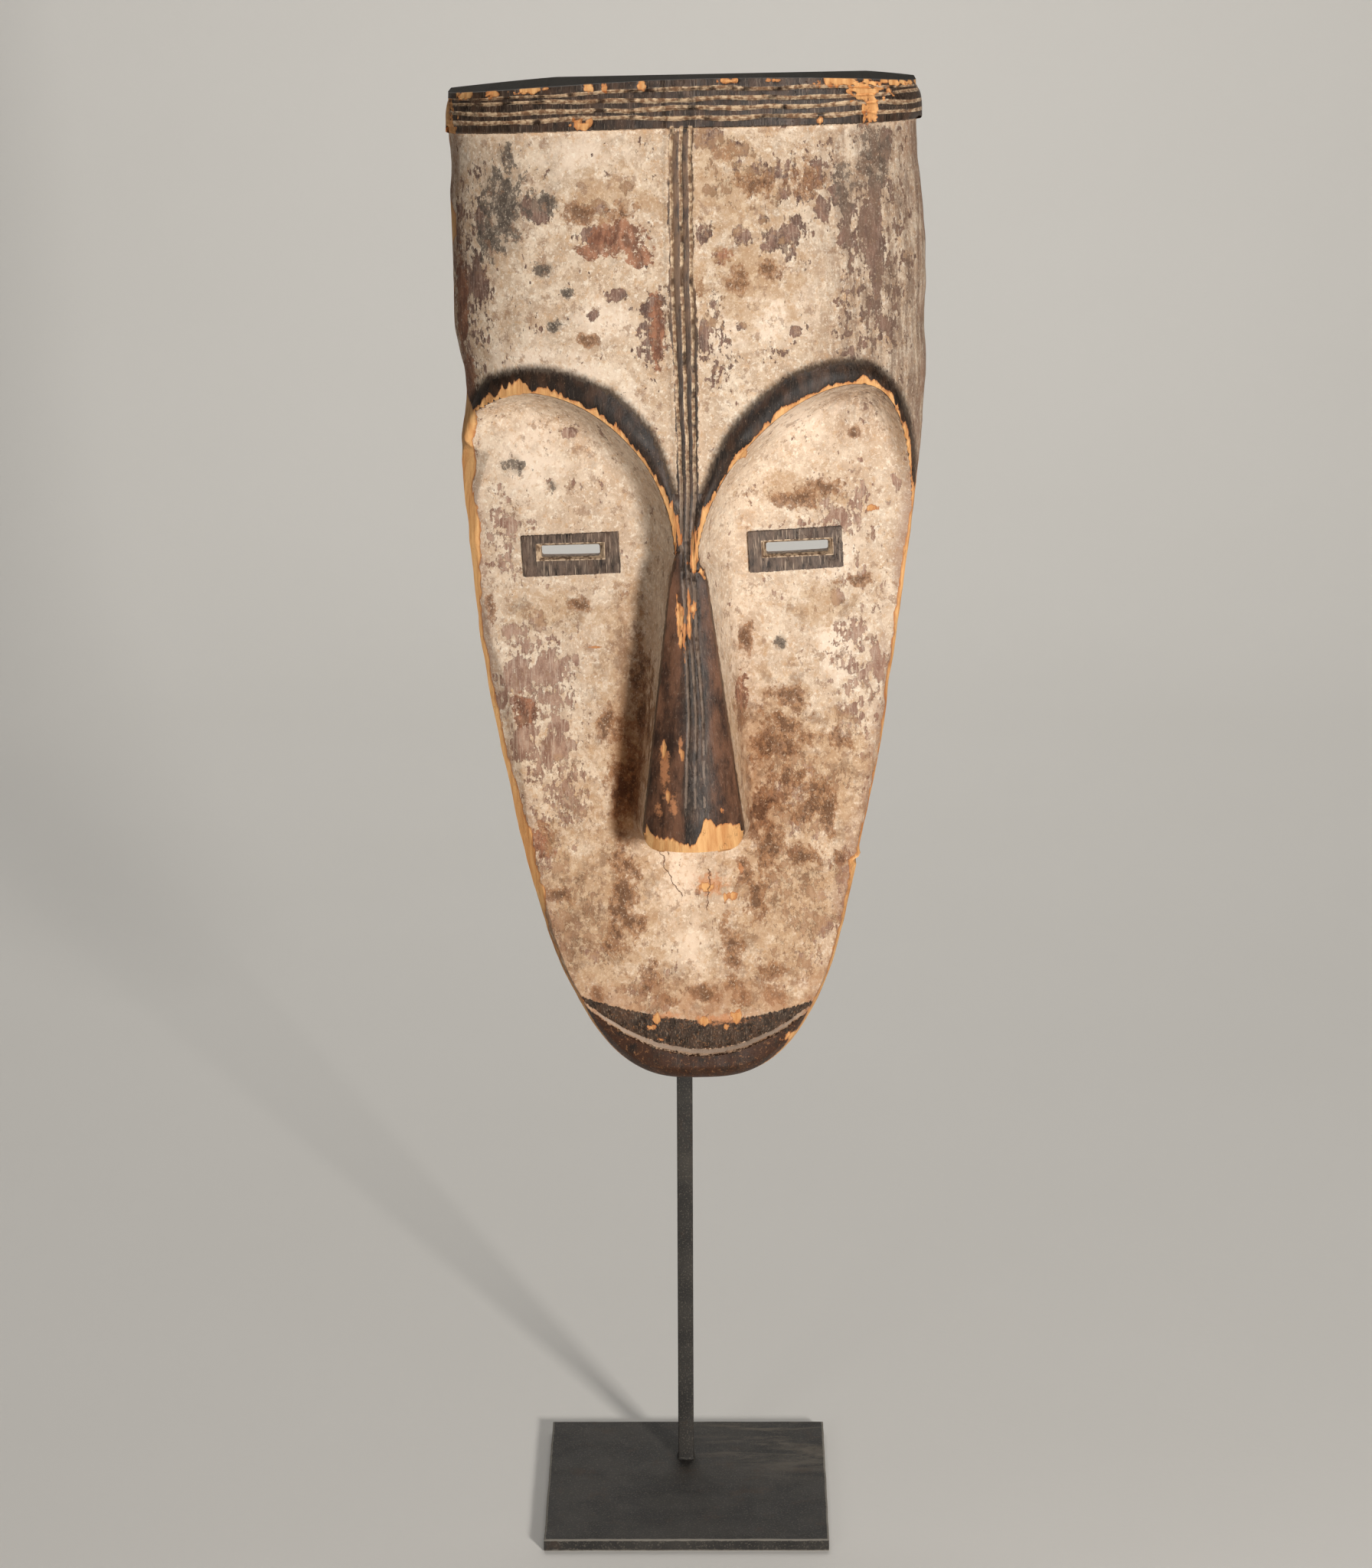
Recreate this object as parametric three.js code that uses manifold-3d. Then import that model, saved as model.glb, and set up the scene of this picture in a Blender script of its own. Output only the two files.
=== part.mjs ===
// A Fang face mask of light wood on its steel display stand, in millimetres, +Z up.
// The origin is the middle of the foot plate's underside. The mask looks along -Y, +X is the viewer's right.
// The mask is worked out in its own frame first: u runs to the viewer's right, w up the face, p forward
// from the plane of the back rim. It is then leaned back on the stand and rolled slightly to one side.
import * as THREE from 'three';
import { mergeVertices } from 'three/addons/utils/BufferGeometryUtils.js';
import Module from 'manifold-3d';

const wasm = await Module();
wasm.setup();

// Stand
const PLATE_SIDE = 180;
const PLATE_THICKNESS = 8;
const PLATE_BEVEL = 0.8;
const BAR_SIDE = 10;
const ROD_X = -1;
const ROD_Y = 34.6;
const CROSSBAR_LENGTH = 110;
const TOUCH_GAP = 0.3;

// Where the mask hangs
const MASK_ORIGIN = new THREE.Vector3(6.2, 28.2, 289.4);
const MASK_LEAN = THREE.MathUtils.degToRad(5);
const MASK_ROLL = THREE.MathUtils.degToRad(1);

// Outline of the mask, and where the carver's hand left it uneven
const MASK_HEIGHT = 622.5;
const MASK_HALF_WIDTH = 144;
const WIDEST_AT = 457;
const OUTLINE_FULLNESS = 1.29;
const OUTLINE_POWER = 0.339;
const MIDDLE_FACE = 1.3;
const MIDDLE_FOREHEAD = 6.2;
const MIDDLE_CHIN = 3.5;
const LEFT_BROW_DIP = { depth: 5, w: 437, reach: 38 };
const LEFT_CHEEK_BULGE = { depth: -1, w: 376, reach: 48 };
const LEFT_JAW_DIP = { depth: 1.8, w: 165, reach: 90 };
const RIGHT_JAW_DIP = { depth: 1.6, w: 150, reach: 70 };
const RIGHT_TOP_TAPER = 4.5;
const TOP_TAPER_RANGE = [520, 590];
const JAW_W = 22.5;
const CHIN_TO_FACE = [20, 150];
const FACE_TO_FOREHEAD = [260, 440];
const TOP_CHAMFER = 3.5;
const TOP_CORNER = { left: 2.2, right: 3.4, from: 602, to: 614 };

// The D-shaped block that the face is carved from
const CROWN_DEPTH = 106;
const CROWN_AT = 490;
const CROWN_TOP_DROP = 7;
const CROWN_CHIN_DROP = 22;
const CROWN_CHIN_POWER = 1.3;
const SIDE_DEPTH_CHIN = 52;
const SIDE_DEPTH_FACE = 48;
const SIDE_DEPTH_FOREHEAD = 34;
const SIDE_TO_FOREHEAD = [340, 440];
const JAW_FORWARD = { depth: 13, w: 130, reach: 130 };
const RIM_CHAMFER = { left: 0.8, right: 1.5, chin: 4, none: 40 };
const RIM_CHAMFER_END = [395, 440];
const ROUNDING_CHIN = 40;
const ROUNDING_FULL = 140;
const ROUNDING_FULL_AT = 420;
const ROUNDING_POWER = 2.8;

// Headband across the top
const BAND_HEIGHT = 28;
const BAND_PROUD = 3;
const BAND_SIDE_PROUD = { left: 1.9, right: 3.6 };
const BAND_FLANK = 2;
const BAND_DROOP = { left: 4.2, right: 1.2 };
const DROOP_RANGE = [486, 598];
const TOP_DROOP = { left: 4.5, right: 5.5 };
const TOP_DROOP_POWER = { left: 1.2, right: 3 };
const TOP_DROOP_RANGE = [610, 622.5];
const GROOVE_COUNT = 4;
const GROOVE_PITCH = 5.3;
const FIRST_GROOVE_BELOW_TOP = 6;
const GROOVE_WIDTH = 2.2;
const GROOVE_DEPTH = 1.3;

// The face under the brows
const FACE_DEPTH_EYES = 62;
const FACE_DEPTH_MOUTH = 76;
const JAW_FALL = { left: 8, right: 9 };
const EYE_FALL = { left: 12, right: 14 };
const JAW_TO_EYES = [180, 300];
const FACE_FALL_POWER = 3;
const NARROWEST_FACE = 30;
const BROWS = {
  left: {
    side: -1, u: -90, w: 340, height: 97,
    inner: 85, innerPower: 1.85, outer: 74, outerPower: 1.85,
  },
  right: {
    side: 1, u: 102, w: 330, height: 109,
    inner: 95, innerPower: 1.7, outer: 38.5, outerPower: 2.85,
  },
};
const BROW_PROUD = 2.6;
const BROW_BAND = 16;
const BROW_FLAT_SHARE = 0.35;
const COVE_OUTER = 9;
const COVE_TOP = 21;
const COVE_BRIDGE = 27;
const COVE_POWER = 2.2;

// Central ridge and nose
const RIDGE_PROUD = 1;
const RIDGE_HALF_TOP = 9;
const RIDGE_HALF_BRIDGE = 6;
const BRIDGE_W = 370;
const BRIDGE_DEPTH = 101;
const BRIDGE_BLEND = [350, 410];
const BRIDGE_PINCH = 2;
const BRIDGE_PINCH_REACH = 22;
const RIDGE_EDGE = 2;
const NOSE_U = 2.7;
const BRIDGE_U = 2.5;
const NOSE_TOP_W = 341;
const NOSE_TIP_W = 161.5;
const NOSE_TIP_DEPTH = 135;
const NOSE_HALF_TOP = 8.2;
const NOSE_HALF_TIP = 31;
const NOSE_CORNER = 9;
const NOSE_CAMBER = 0.019;
const NOSE_FLANK_TIP = 9;
const NOSE_UNDERCUT = 2.5;

// Mouth and chin
const MOUTH_W = 42;
const MOUTH_MIDDLE = 12;
const MOUTH_RISE = 13.5;
const MOUTH_REACH = 75;
const MOUTH_POWER = 1.5;
const LIP_W = 23;
const LIP_MIDDLE = 3;
const LIP_RISE = 25;
const LIP_REACH = 63;
const LIP_POWER = 1.9;
const LIP_TILT = 0.05;
const MOUTH_HALF = 70;
const MOUTH_NOTCH = 5;
const MOUTH_END_NOTCH = 0.8;
const LEDGE_HEIGHT = 3;
const LEDGE_PROUD = 1;

// Eyes: raised frames, each with a slot right through
const EYES = [
  {
    u: -69.3, w: 333.6, width: 59, height: 25, tilt: 2.3,
    slotU: -69.5, slotW: 335.5, slotLength: 36, slotTilt: 1.3,
  },
  {
    u: 67.9, w: 334.2, width: 57, height: 25, tilt: 1.9,
    slotU: 69, slotW: 335.3, slotLength: 38, slotTilt: 0.9,
  },
];
const EYE_FRAME_PROUD = 1.2;
const EYE_FRAME_DEPTH = 6;
const EYE_SLOPE_REACH = 12;
const SLOT_HEIGHT = 7.2;
const SLOT_DEPTH = 60;
const SLOT_BEVEL = { u: 2.6, w: 1.3 };
const SLOT_BEVEL_DEPTH = 3.5;

// Hollow behind the face
const SIDE_WALL = 13;
const CHIN_WALL = 12;
const TOP_WALL = 16;
const FRONT_WALL = 11.5;
const FOREHEAD_WALL = 14;
const HOLLOW_STEP_LOW = 425;
const HOLLOW_STEP_HIGH = 490;
const HOLLOW_RIM_DEPTH = 12;
const HOLLOW_ROUNDING = 90;
const HOLLOW_POWER = 2.6;
const BACK_CLEARANCE = 5;

// Fineness of the faceted surfaces. Rows go up the mask in stretches of [from, to, number of steps].
const FRONT_COLUMNS = 40;
const FRONT_ROWS = [
  [0, 8, 3],
  [8, 19.5, 2],
  [19.5, 22.5, 1],
  [22.5, 26, 1],
  [26, 48, 3],
  [48, 156, 9],
  [156, 159.8, 1],
  [159.8, 163, 2],
  [163, 173, 3],
  [173, 330, 12],
  [330, 445, 18],
  [445, MASK_HEIGHT - BAND_HEIGHT - BAND_FLANK, 9],
  [MASK_HEIGHT - BAND_HEIGHT - BAND_FLANK, MASK_HEIGHT - BAND_HEIGHT, 1],
];
const HOLLOW_COLUMNS = 20;
const HOLLOW_ROWS = [
  [CHIN_WALL, 40, 4],
  [40, HOLLOW_STEP_LOW, 14],
  [HOLLOW_STEP_LOW, HOLLOW_STEP_HIGH, 6],
  [HOLLOW_STEP_HIGH, 510, 1],
  [510, MASK_HEIGHT - TOP_WALL, 5],
];
const COLUMN_CROWDING = 0.42;
const CURVE_STEPS = 90;
const POINT_CROWDING = 2.2;
const SNAP_SHARE = 0.46;
const SNAP_CLEAR_OF_EDGE = 2;
const WELD_DISTANCE = 1e-4;

const { smoothstep, lerp, clamp } = THREE.MathUtils;

function within(w, [from, to]) {
  return smoothstep(w, from, to);
}

// Picks the value for one side of the middle line.
function sided({ left, right }, side) {
  return side < 0 ? left : right;
}

// Outline

// Half the mask's width at height w, and its inverse below the widest place.
function halfWidth(w) {
  const t = clamp(1 - w / WIDEST_AT, 0, 1);
  return MASK_HALF_WIDTH * (1 - t ** OUTLINE_FULLNESS) ** OUTLINE_POWER;
}

function outlineHeight(half) {
  const share = 1 - (half / MASK_HALF_WIDTH) ** (1 / OUTLINE_POWER);
  return WIDEST_AT * (1 - share ** (1 / OUTLINE_FULLNESS));
}

// The middle line isn't quite straight: forehead and chin stand a little to the viewer's right.
function middle(w) {
  const face = lerp(MIDDLE_FACE, MIDDLE_FOREHEAD, within(w, FACE_TO_FOREHEAD));
  return lerp(MIDDLE_CHIN, face, within(w, CHIN_TO_FACE));
}

function swell({ depth, w, reach }, at) {
  const t = clamp(Math.abs(at - w) / reach, 0, 1);
  return depth * (1 - t * t) ** 2;
}

function unevenness(side, w) {
  if (side < 0) return swell(LEFT_BROW_DIP, w) + swell(LEFT_CHEEK_BULGE, w) + swell(LEFT_JAW_DIP, w);
  return RIGHT_TOP_TAPER * within(w, TOP_TAPER_RANGE) + swell(RIGHT_JAW_DIP, w);
}

function bandShare(w) {
  return smoothstep(w, MASK_HEIGHT - BAND_HEIGHT - BAND_FLANK, MASK_HEIGHT - BAND_HEIGHT);
}

function outlineHalf(side, w) {
  const corner = clamp((w - TOP_CORNER.from) / (TOP_CORNER.to - TOP_CORNER.from), 0, 1);
  const rounded = sided(TOP_CORNER, side) * corner * corner;
  return halfWidth(w) - unevenness(side, w) - rounded + sided(BAND_SIDE_PROUD, side) * bandShare(w);
}

// Points up one side, closer together at the chin, where the outline turns fastest.
function outlinePoints(side) {
  const points = [];
  for (let i = 0; i <= CURVE_STEPS * 2; i++) {
    const w = MASK_HEIGHT * (i / (CURVE_STEPS * 2)) ** POINT_CROWDING;
    points.push([middle(w) + side * outlineHalf(side, w), w]);
  }
  return points;
}

function nearest(points, u, w) {
  let best = { distance: Infinity, index: 0 };
  for (let i = 1; i < points.length; i++) {
    const [au, aw] = points[i - 1];
    const du = points[i][0] - au;
    const dw = points[i][1] - aw;
    const length = du * du + dw * dw;
    const t = length > 0 ? clamp(((u - au) * du + (w - aw) * dw) / length, 0, 1) : 0;
    const distance = Math.hypot(u - au - t * du, w - aw - t * dw);
    if (distance < best.distance) best = { distance, index: i - 1 + t };
  }
  return best;
}

const OUTLINE_LEFT = outlinePoints(-1);
const OUTLINE_RIGHT = outlinePoints(1);

function edgeDistance(u, w) {
  return Math.min(nearest(OUTLINE_LEFT, u, w).distance, nearest(OUTLINE_RIGHT, u, w).distance);
}

// The block: deepest along the middle, rounded over towards its side walls.

function crownDepth(w) {
  const up = (w - CROWN_AT) / (MASK_HEIGHT - CROWN_AT);
  if (up > 0) return CROWN_DEPTH - CROWN_TOP_DROP * up * up;
  return CROWN_DEPTH - CROWN_CHIN_DROP * ((CROWN_AT - w) / CROWN_AT) ** CROWN_CHIN_POWER;
}

// The side walls end at this depth, where the front starts to round over. It stands forward along the jaw.
function sideDepth(w) {
  const face = lerp(SIDE_DEPTH_CHIN, SIDE_DEPTH_FACE, within(w, CHIN_TO_FACE));
  return lerp(face, SIDE_DEPTH_FOREHEAD, within(w, SIDE_TO_FOREHEAD)) + swell(JAW_FORWARD, w);
}

function blockDepth(w, edge) {
  const rise = clamp(1 - w / ROUNDING_FULL_AT, 0, 1);
  const rounding = lerp(ROUNDING_CHIN, ROUNDING_FULL, 1 - rise * rise);
  const t = clamp(1 - edge / rounding, 0, 1);
  return lerp(sideDepth(w), crownDepth(w), Math.sqrt(1 - t ** ROUNDING_POWER));
}

// Round the face the front edge is a flat chamfer, wider on the left. The forehead has none.
function rimDepth(u, w, edge) {
  const face = sided(RIM_CHAMFER, u - middle(w));
  const slope = lerp(RIM_CHAMFER.chin, face, within(w, CHIN_TO_FACE));
  return sideDepth(w) + edge * lerp(slope, RIM_CHAMFER.none, within(w, RIM_CHAMFER_END));
}

// Nose and central ridge

function noseMiddle(w) {
  return lerp(NOSE_U, BRIDGE_U, clamp((w - NOSE_TIP_W) / (BRIDGE_W - NOSE_TIP_W), 0, 1));
}

function noseHalf(w) {
  const up = clamp((w - NOSE_TIP_W) / (NOSE_TOP_W - NOSE_TIP_W), 0, 1);
  const widening = lerp(NOSE_HALF_TIP, NOSE_HALF_TOP, up);
  const corner = clamp(1 - (w - NOSE_TIP_W) / NOSE_CORNER, 0, 1);
  const pinch = BRIDGE_PINCH * smoothstep(w, NOSE_TOP_W - BRIDGE_PINCH_REACH, NOSE_TOP_W);
  return widening - pinch - NOSE_CORNER * (1 - Math.sqrt(1 - corner * corner));
}

function noseRoof(u, w) {
  const slope = (NOSE_TIP_DEPTH - BRIDGE_DEPTH) / (BRIDGE_W - NOSE_TIP_W);
  const crest = BRIDGE_DEPTH + slope * (BRIDGE_W - w);
  return crest - NOSE_CAMBER * (u - noseMiddle(w)) ** 2;
}

// A brow's lower edge is half of a superellipse, steeper on its outer side. Below it the same line
// goes on down the nose's flank and along the flat cut under the tip. Each point carries its cove's width.
function browLine(brow) {
  const points = [];
  for (let i = 0; i <= CURVE_STEPS; i++) {
    const angle = Math.PI * (i / CURVE_STEPS);
    const outer = angle < Math.PI / 2;
    const power = outer ? brow.outerPower : brow.innerPower;
    const reach = outer ? brow.outer : brow.inner;
    const across = Math.abs(Math.cos(angle)) ** (2 / power) * reach * (outer ? brow.side : -brow.side);
    const up = Math.sin(angle) ** (2 / power) * brow.height;
    const t = (2 * i) / CURVE_STEPS;
    const cove = outer ? lerp(COVE_OUTER, COVE_TOP, t) : lerp(COVE_TOP, COVE_BRIDGE, t - 1);
    points.push([brow.u + across, brow.w + up, cove]);
  }
  for (let i = 1; i <= CURVE_STEPS; i++) {
    const w = lerp(Math.min(brow.w, NOSE_TOP_W), NOSE_TIP_W, i / CURVE_STEPS);
    const flank = lerp(COVE_BRIDGE, NOSE_FLANK_TIP, Math.sqrt(i / CURVE_STEPS));
    points.push([noseMiddle(w) + brow.side * noseHalf(w), w, flank]);
  }
  points.push([noseMiddle(NOSE_TIP_W), NOSE_TIP_W, NOSE_UNDERCUT]);
  return points;
}

const BROW_LINES = [browLine(BROWS.left), browLine(BROWS.right)];

function underBrow(brow, u, w) {
  const across = (u - brow.u) * brow.side;
  const reach = across > 0 ? brow.outer : brow.inner;
  const power = across > 0 ? brow.outerPower : brow.innerPower;
  if (w < brow.w) return across > -brow.inner;
  return (Math.abs(across) / reach) ** power + ((w - brow.w) / brow.height) ** power < 1;
}

function onNose(u, w) {
  return w > NOSE_TIP_W && w < NOSE_TOP_W && Math.abs(u - noseMiddle(w)) < noseHalf(w);
}

// Distance into the hollowed face from the nearest brow or nose edge, and the cove's width there.
function carvedFrom(u, w) {
  const side = u < noseMiddle(w) ? 0 : 1;
  const line = BROW_LINES[side];
  const brow = side === 0 ? BROWS.left : BROWS.right;
  const hit = nearest(line, u, w);
  const i = Math.min(Math.floor(hit.index), line.length - 2);
  const cove = lerp(line[i][2], line[i + 1][2], hit.index - i);
  const inside = !onNose(u, w) && (w < NOSE_TIP_W || underBrow(brow, u, w));
  return { depth: inside ? hit.distance : -hit.distance, cove, browShare: hit.index < CURVE_STEPS ? 1 : 0 };
}

// The face, mouth and chin

function lipLine(u) {
  const rise = LIP_RISE * (Math.abs(u - LIP_MIDDLE) / LIP_REACH) ** LIP_POWER;
  return LIP_W + rise - LIP_TILT * Math.max(0, u - LIP_MIDDLE);
}

function mouthLine(u) {
  return MOUTH_W + MOUTH_RISE * (Math.abs(u - MOUTH_MIDDLE) / MOUTH_REACH) ** MOUTH_POWER;
}

// The mouth is cut in deeper towards the lower lip, which is a narrow ledge.
function mouthNotch(u, w) {
  const depth = MOUTH_NOTCH * clamp(1 - ((u - LIP_MIDDLE) / MOUTH_HALF) ** 2, 0, 1) + MOUTH_END_NOTCH;
  const top = mouthLine(u);
  const ledge = lipLine(u);
  if (w > top) return 0;
  if (w > ledge) return depth * ((top - w) / Math.max(1, top - ledge));
  return lerp(depth, -LEDGE_PROUD, clamp((ledge - w) / LEDGE_HEIGHT, 0, 1));
}

function faceMiddleDepth(w) {
  return lerp(FACE_DEPTH_MOUTH, FACE_DEPTH_EYES, smoothstep(w, MOUTH_W, NOSE_TOP_W));
}

function faceDepth(u, w) {
  const across = (u - middle(w)) / Math.max(NARROWEST_FACE, halfWidth(w));
  const most = lerp(sided(JAW_FALL, across), sided(EYE_FALL, across), within(w, JAW_TO_EYES));
  return faceMiddleDepth(w) - most * Math.min(1, Math.abs(across)) ** FACE_FALL_POWER - mouthNotch(u, w);
}

// Headband grooves, each a shallow V that follows the band's droop.
function grooveCut(level) {
  let cut = 0;
  for (let i = 0; i < GROOVE_COUNT; i++) {
    const centre = MASK_HEIGHT - FIRST_GROOVE_BELOW_TOP - i * GROOVE_PITCH;
    cut += GROOVE_DEPTH * clamp(1 - Math.abs(level - centre) / (GROOVE_WIDTH / 2), 0, 1);
  }
  return cut;
}

// How far a point of the headband lies below its level at the middle. q is its share of the half width.
// The top edge drops more than the rest, so the band is narrower at its ends.
function droop(q, level) {
  const band = sided(BAND_DROOP, q) * q * q * within(level, DROOP_RANGE);
  const top = sided(TOP_DROOP, q) * Math.abs(q) ** sided(TOP_DROOP_POWER, q);
  return band + top * within(level, TOP_DROOP_RANGE);
}

// Depth of the whole front. level is w before the headband's droop, so that grooves follow it.
function frontDepth(u, w, level, edge, onEdge = false) {
  const block = blockDepth(w, edge);
  const { depth, cove, browShare } = carvedFrom(u, w);
  const ridgeShare = clamp((w - BRIDGE_W) / (MASK_HEIGHT - BRIDGE_W), 0, 1);
  const ridgeHalf = lerp(RIDGE_HALF_BRIDGE, RIDGE_HALF_TOP, ridgeShare);
  const offRidge = Math.abs(u - noseMiddle(w));
  const ridge = RIDGE_PROUD * (1 - smoothstep(offRidge, ridgeHalf - RIDGE_EDGE, ridgeHalf));
  const roofShare = 1 - within(w, BRIDGE_BLEND);
  const upper = lerp(block, Math.max(noseRoof(u, w), faceDepth(u, w)), roofShare) + ridge;
  const brow = BROW_PROUD * browShare * (1 - smoothstep(-depth, BROW_BAND * BROW_FLAT_SHARE, BROW_BAND));
  if (onEdge || depth <= 0) return upper + brow + BAND_PROUD * bandShare(level) - grooveCut(level);
  const face = Math.min(faceDepth(u, w), block, rimDepth(u, w, edge));
  const wall = (1 - clamp(depth / cove, 0, 1)) ** COVE_POWER;
  return lerp(face, upper + brow, wall);
}

// Mesh making

class Faces {
  constructor() {
    this.positions = [];
    this.triangles = [];
  }

  vertex(u, w, p) {
    this.positions.push(u, -p, w);
    return this.positions.length / 3 - 1;
  }

  quad(a, b, c, d) {
    this.triangles.push(a, b, c, a, c, d);
  }

  // Splits a quad along the diagonal whose ends differ least in depth, so that it doesn't cross an edge.
  levelQuad(a, b, c, d) {
    const depth = (k) => this.positions[3 * k + 1];
    if (Math.abs(depth(a) - depth(c)) <= Math.abs(depth(b) - depth(d))) this.quad(a, b, c, d);
    else this.quad(b, c, d, a);
  }

  geometry() {
    const geometry = new THREE.BufferGeometry();
    geometry.setAttribute('position', new THREE.Float32BufferAttribute(this.positions, 3));
    geometry.setIndex(this.triangles);
    return geometry;
  }
}

function levels(stretches) {
  const list = [stretches[0][0]];
  for (const [from, to, count] of stretches) {
    for (let i = 1; i <= count; i++) list.push(lerp(from, to, i / count));
  }
  return list;
}

// Closes a grid of front vertices, rows from the chin up, with side walls, a flat top and a flat back.
// back(i, j) gives the point behind a vertex of the grid's edge.
function closedGrid(rows, columns, front, back) {
  const faces = new Faces();
  const grid = [];
  for (let j = 0; j < rows; j++) {
    grid.push([]);
    for (let i = 0; i < columns; i++) grid[j].push(faces.vertex(...front(i, j)));
  }
  for (let j = 1; j < rows; j++) {
    for (let i = 1; i < columns; i++) {
      faces.levelQuad(grid[j - 1][i - 1], grid[j - 1][i], grid[j][i], grid[j][i - 1]);
    }
  }
  const loop = [];
  for (let i = 0; i < columns; i++) loop.push([i, 0]);
  for (let j = 1; j < rows; j++) loop.push([columns - 1, j]);
  for (let i = columns - 2; i >= 0; i--) loop.push([i, rows - 1]);
  for (let j = rows - 2; j > 0; j--) loop.push([0, j]);
  const behind = loop.map(([i, j]) => faces.vertex(...back(i, j)));
  loop.forEach(([i, j], k) => {
    const [ni, nj] = loop[(k + 1) % loop.length];
    faces.quad(grid[j][i], behind[k], behind[(k + 1) % loop.length], grid[nj][ni]);
  });
  const contour = behind.map((k) => new THREE.Vector2(faces.positions[3 * k], faces.positions[3 * k + 2]));
  for (const [a, b, c] of THREE.ShapeUtils.triangulateShape(contour, [])) {
    faces.triangles.push(behind[a], behind[c], behind[b]);
  }
  return faces.geometry();
}

// A column's share of the half width, with columns close together at the nose and at the edges.
function columnShare(i, count) {
  const t = (2 * i) / count - 1;
  return t - COLUMN_CROWDING * Math.sin(2 * Math.PI * t) / (2 * Math.PI);
}

function maskBody() {
  const rows = levels(FRONT_ROWS);
  for (let i = GROOVE_COUNT - 1; i >= 0; i--) {
    const centre = MASK_HEIGHT - FIRST_GROOVE_BELOW_TOP - i * GROOVE_PITCH;
    rows.push(centre - GROOVE_WIDTH / 2, centre, centre + GROOVE_WIDTH / 2);
  }
  rows.push(MASK_HEIGHT);
  const jaw = halfWidth(JAW_W);
  const place = (i, j) => {
    const q = columnShare(i, FRONT_COLUMNS);
    const chin = outlineHeight(Math.abs(q) * jaw) * (1 - smoothstep(rows[j], 0, MASK_HEIGHT / 2));
    const w = rows[j] + chin;
    const reach = Math.max(jaw, outlineHalf(q, w));
    return [middle(w) + q * reach, w - droop(q, rows[j])];
  };
  // A vertex close to a brow's or the nose's edge is moved onto it, so that the edge stays crisp.
  const settle = (i, j) => {
    const [u, w] = place(i, j);
    const stepU = (place(i + 1, j)[0] - place(i - 1, j)[0]) / 2;
    const stepW = (place(i, j + 1)[1] - place(i, j - 1)[1]) / 2;
    const line = BROW_LINES[u < noseMiddle(w) ? 0 : 1];
    const hit = nearest(line, u, w);
    const at = Math.min(Math.floor(hit.index), line.length - 2);
    const lineU = lerp(line[at][0], line[at + 1][0], hit.index - at);
    const lineW = lerp(line[at][1], line[at + 1][1], hit.index - at);
    const near = Math.hypot((lineU - u) / stepU, (lineW - w) / stepW) < SNAP_SHARE;
    return near && edgeDistance(lineU, lineW) > SNAP_CLEAR_OF_EDGE ? [lineU, lineW, true] : [u, w, false];
  };
  const front = (i, j) => {
    const rim = i === 0 || i === FRONT_COLUMNS || j === 0;
    const top = j === rows.length - 1;
    const [u, w, onEdge] = rim || top ? [...place(i, j), false] : settle(i, j);
    if (rim) return [u, w, sideDepth(w)];
    return [u, w, frontDepth(u, w, rows[j], edgeDistance(u, w), onEdge)];
  };
  const back = (i, j) => {
    const [u, w] = place(i, j);
    const last = j === rows.length - 1;
    return [u, last ? Math.min(w, MASK_HEIGHT - TOP_CHAMFER) : w, 0];
  };
  return closedGrid(rows.length, FRONT_COLUMNS + 1, front, back);
}

// The hollow, as the solid that is taken out of the block.
function hollowBody() {
  const rows = levels(HOLLOW_ROWS);
  const shrink = (MASK_HALF_WIDTH - SIDE_WALL) / MASK_HALF_WIDTH;
  const jaw = shrink * halfWidth(JAW_W);
  const place = (i, j) => {
    const q = columnShare(i, HOLLOW_COLUMNS);
    const chin = outlineHeight(Math.abs(q) * halfWidth(JAW_W));
    const w = rows[j] + chin * (1 - smoothstep(rows[j], 0, MASK_HEIGHT / 2));
    return [middle(w) + q * Math.max(jaw, shrink * halfWidth(w - CHIN_WALL)), w];
  };
  const leftRim = rows.map((_, j) => place(0, j));
  const rightRim = rows.map((_, j) => place(HOLLOW_COLUMNS, j));
  const chinRim = [];
  for (let i = 0; i <= HOLLOW_COLUMNS; i++) chinRim.push(place(i, 0));
  const rim = [...leftRim.reverse(), ...chinRim, ...rightRim];
  const front = (i, j) => {
    const [u, w] = place(i, j);
    const edge = nearest(rim, u, w).distance;
    const face = faceMiddleDepth(w) - FRONT_WALL;
    const forehead = crownDepth(w) - FOREHEAD_WALL;
    const floor = lerp(face, forehead, smoothstep(w, HOLLOW_STEP_LOW, HOLLOW_STEP_HIGH));
    const t = clamp(1 - edge / HOLLOW_ROUNDING, 0, 1);
    return [u, w, lerp(HOLLOW_RIM_DEPTH, floor, Math.sqrt(1 - t ** HOLLOW_POWER))];
  };
  const back = (i, j) => {
    const [u, w] = place(i, j);
    return [u, w, -BACK_CLEARANCE];
  };
  return closedGrid(rows.length, HOLLOW_COLUMNS + 1, front, back);
}

// A block whose front face can be larger than its back, for the eyes. Its front looks along -Y.
function taperedBlock(width, height, depth, flare) {
  const block = new THREE.BoxGeometry(width, depth, height);
  const position = block.getAttribute('position');
  for (let i = 0; i < position.count; i++) {
    if (position.getY(i) > 0) continue;
    position.setX(i, position.getX(i) + Math.sign(position.getX(i)) * flare.u);
    position.setZ(i, position.getZ(i) + Math.sign(position.getZ(i)) * flare.w);
  }
  return block;
}

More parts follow.
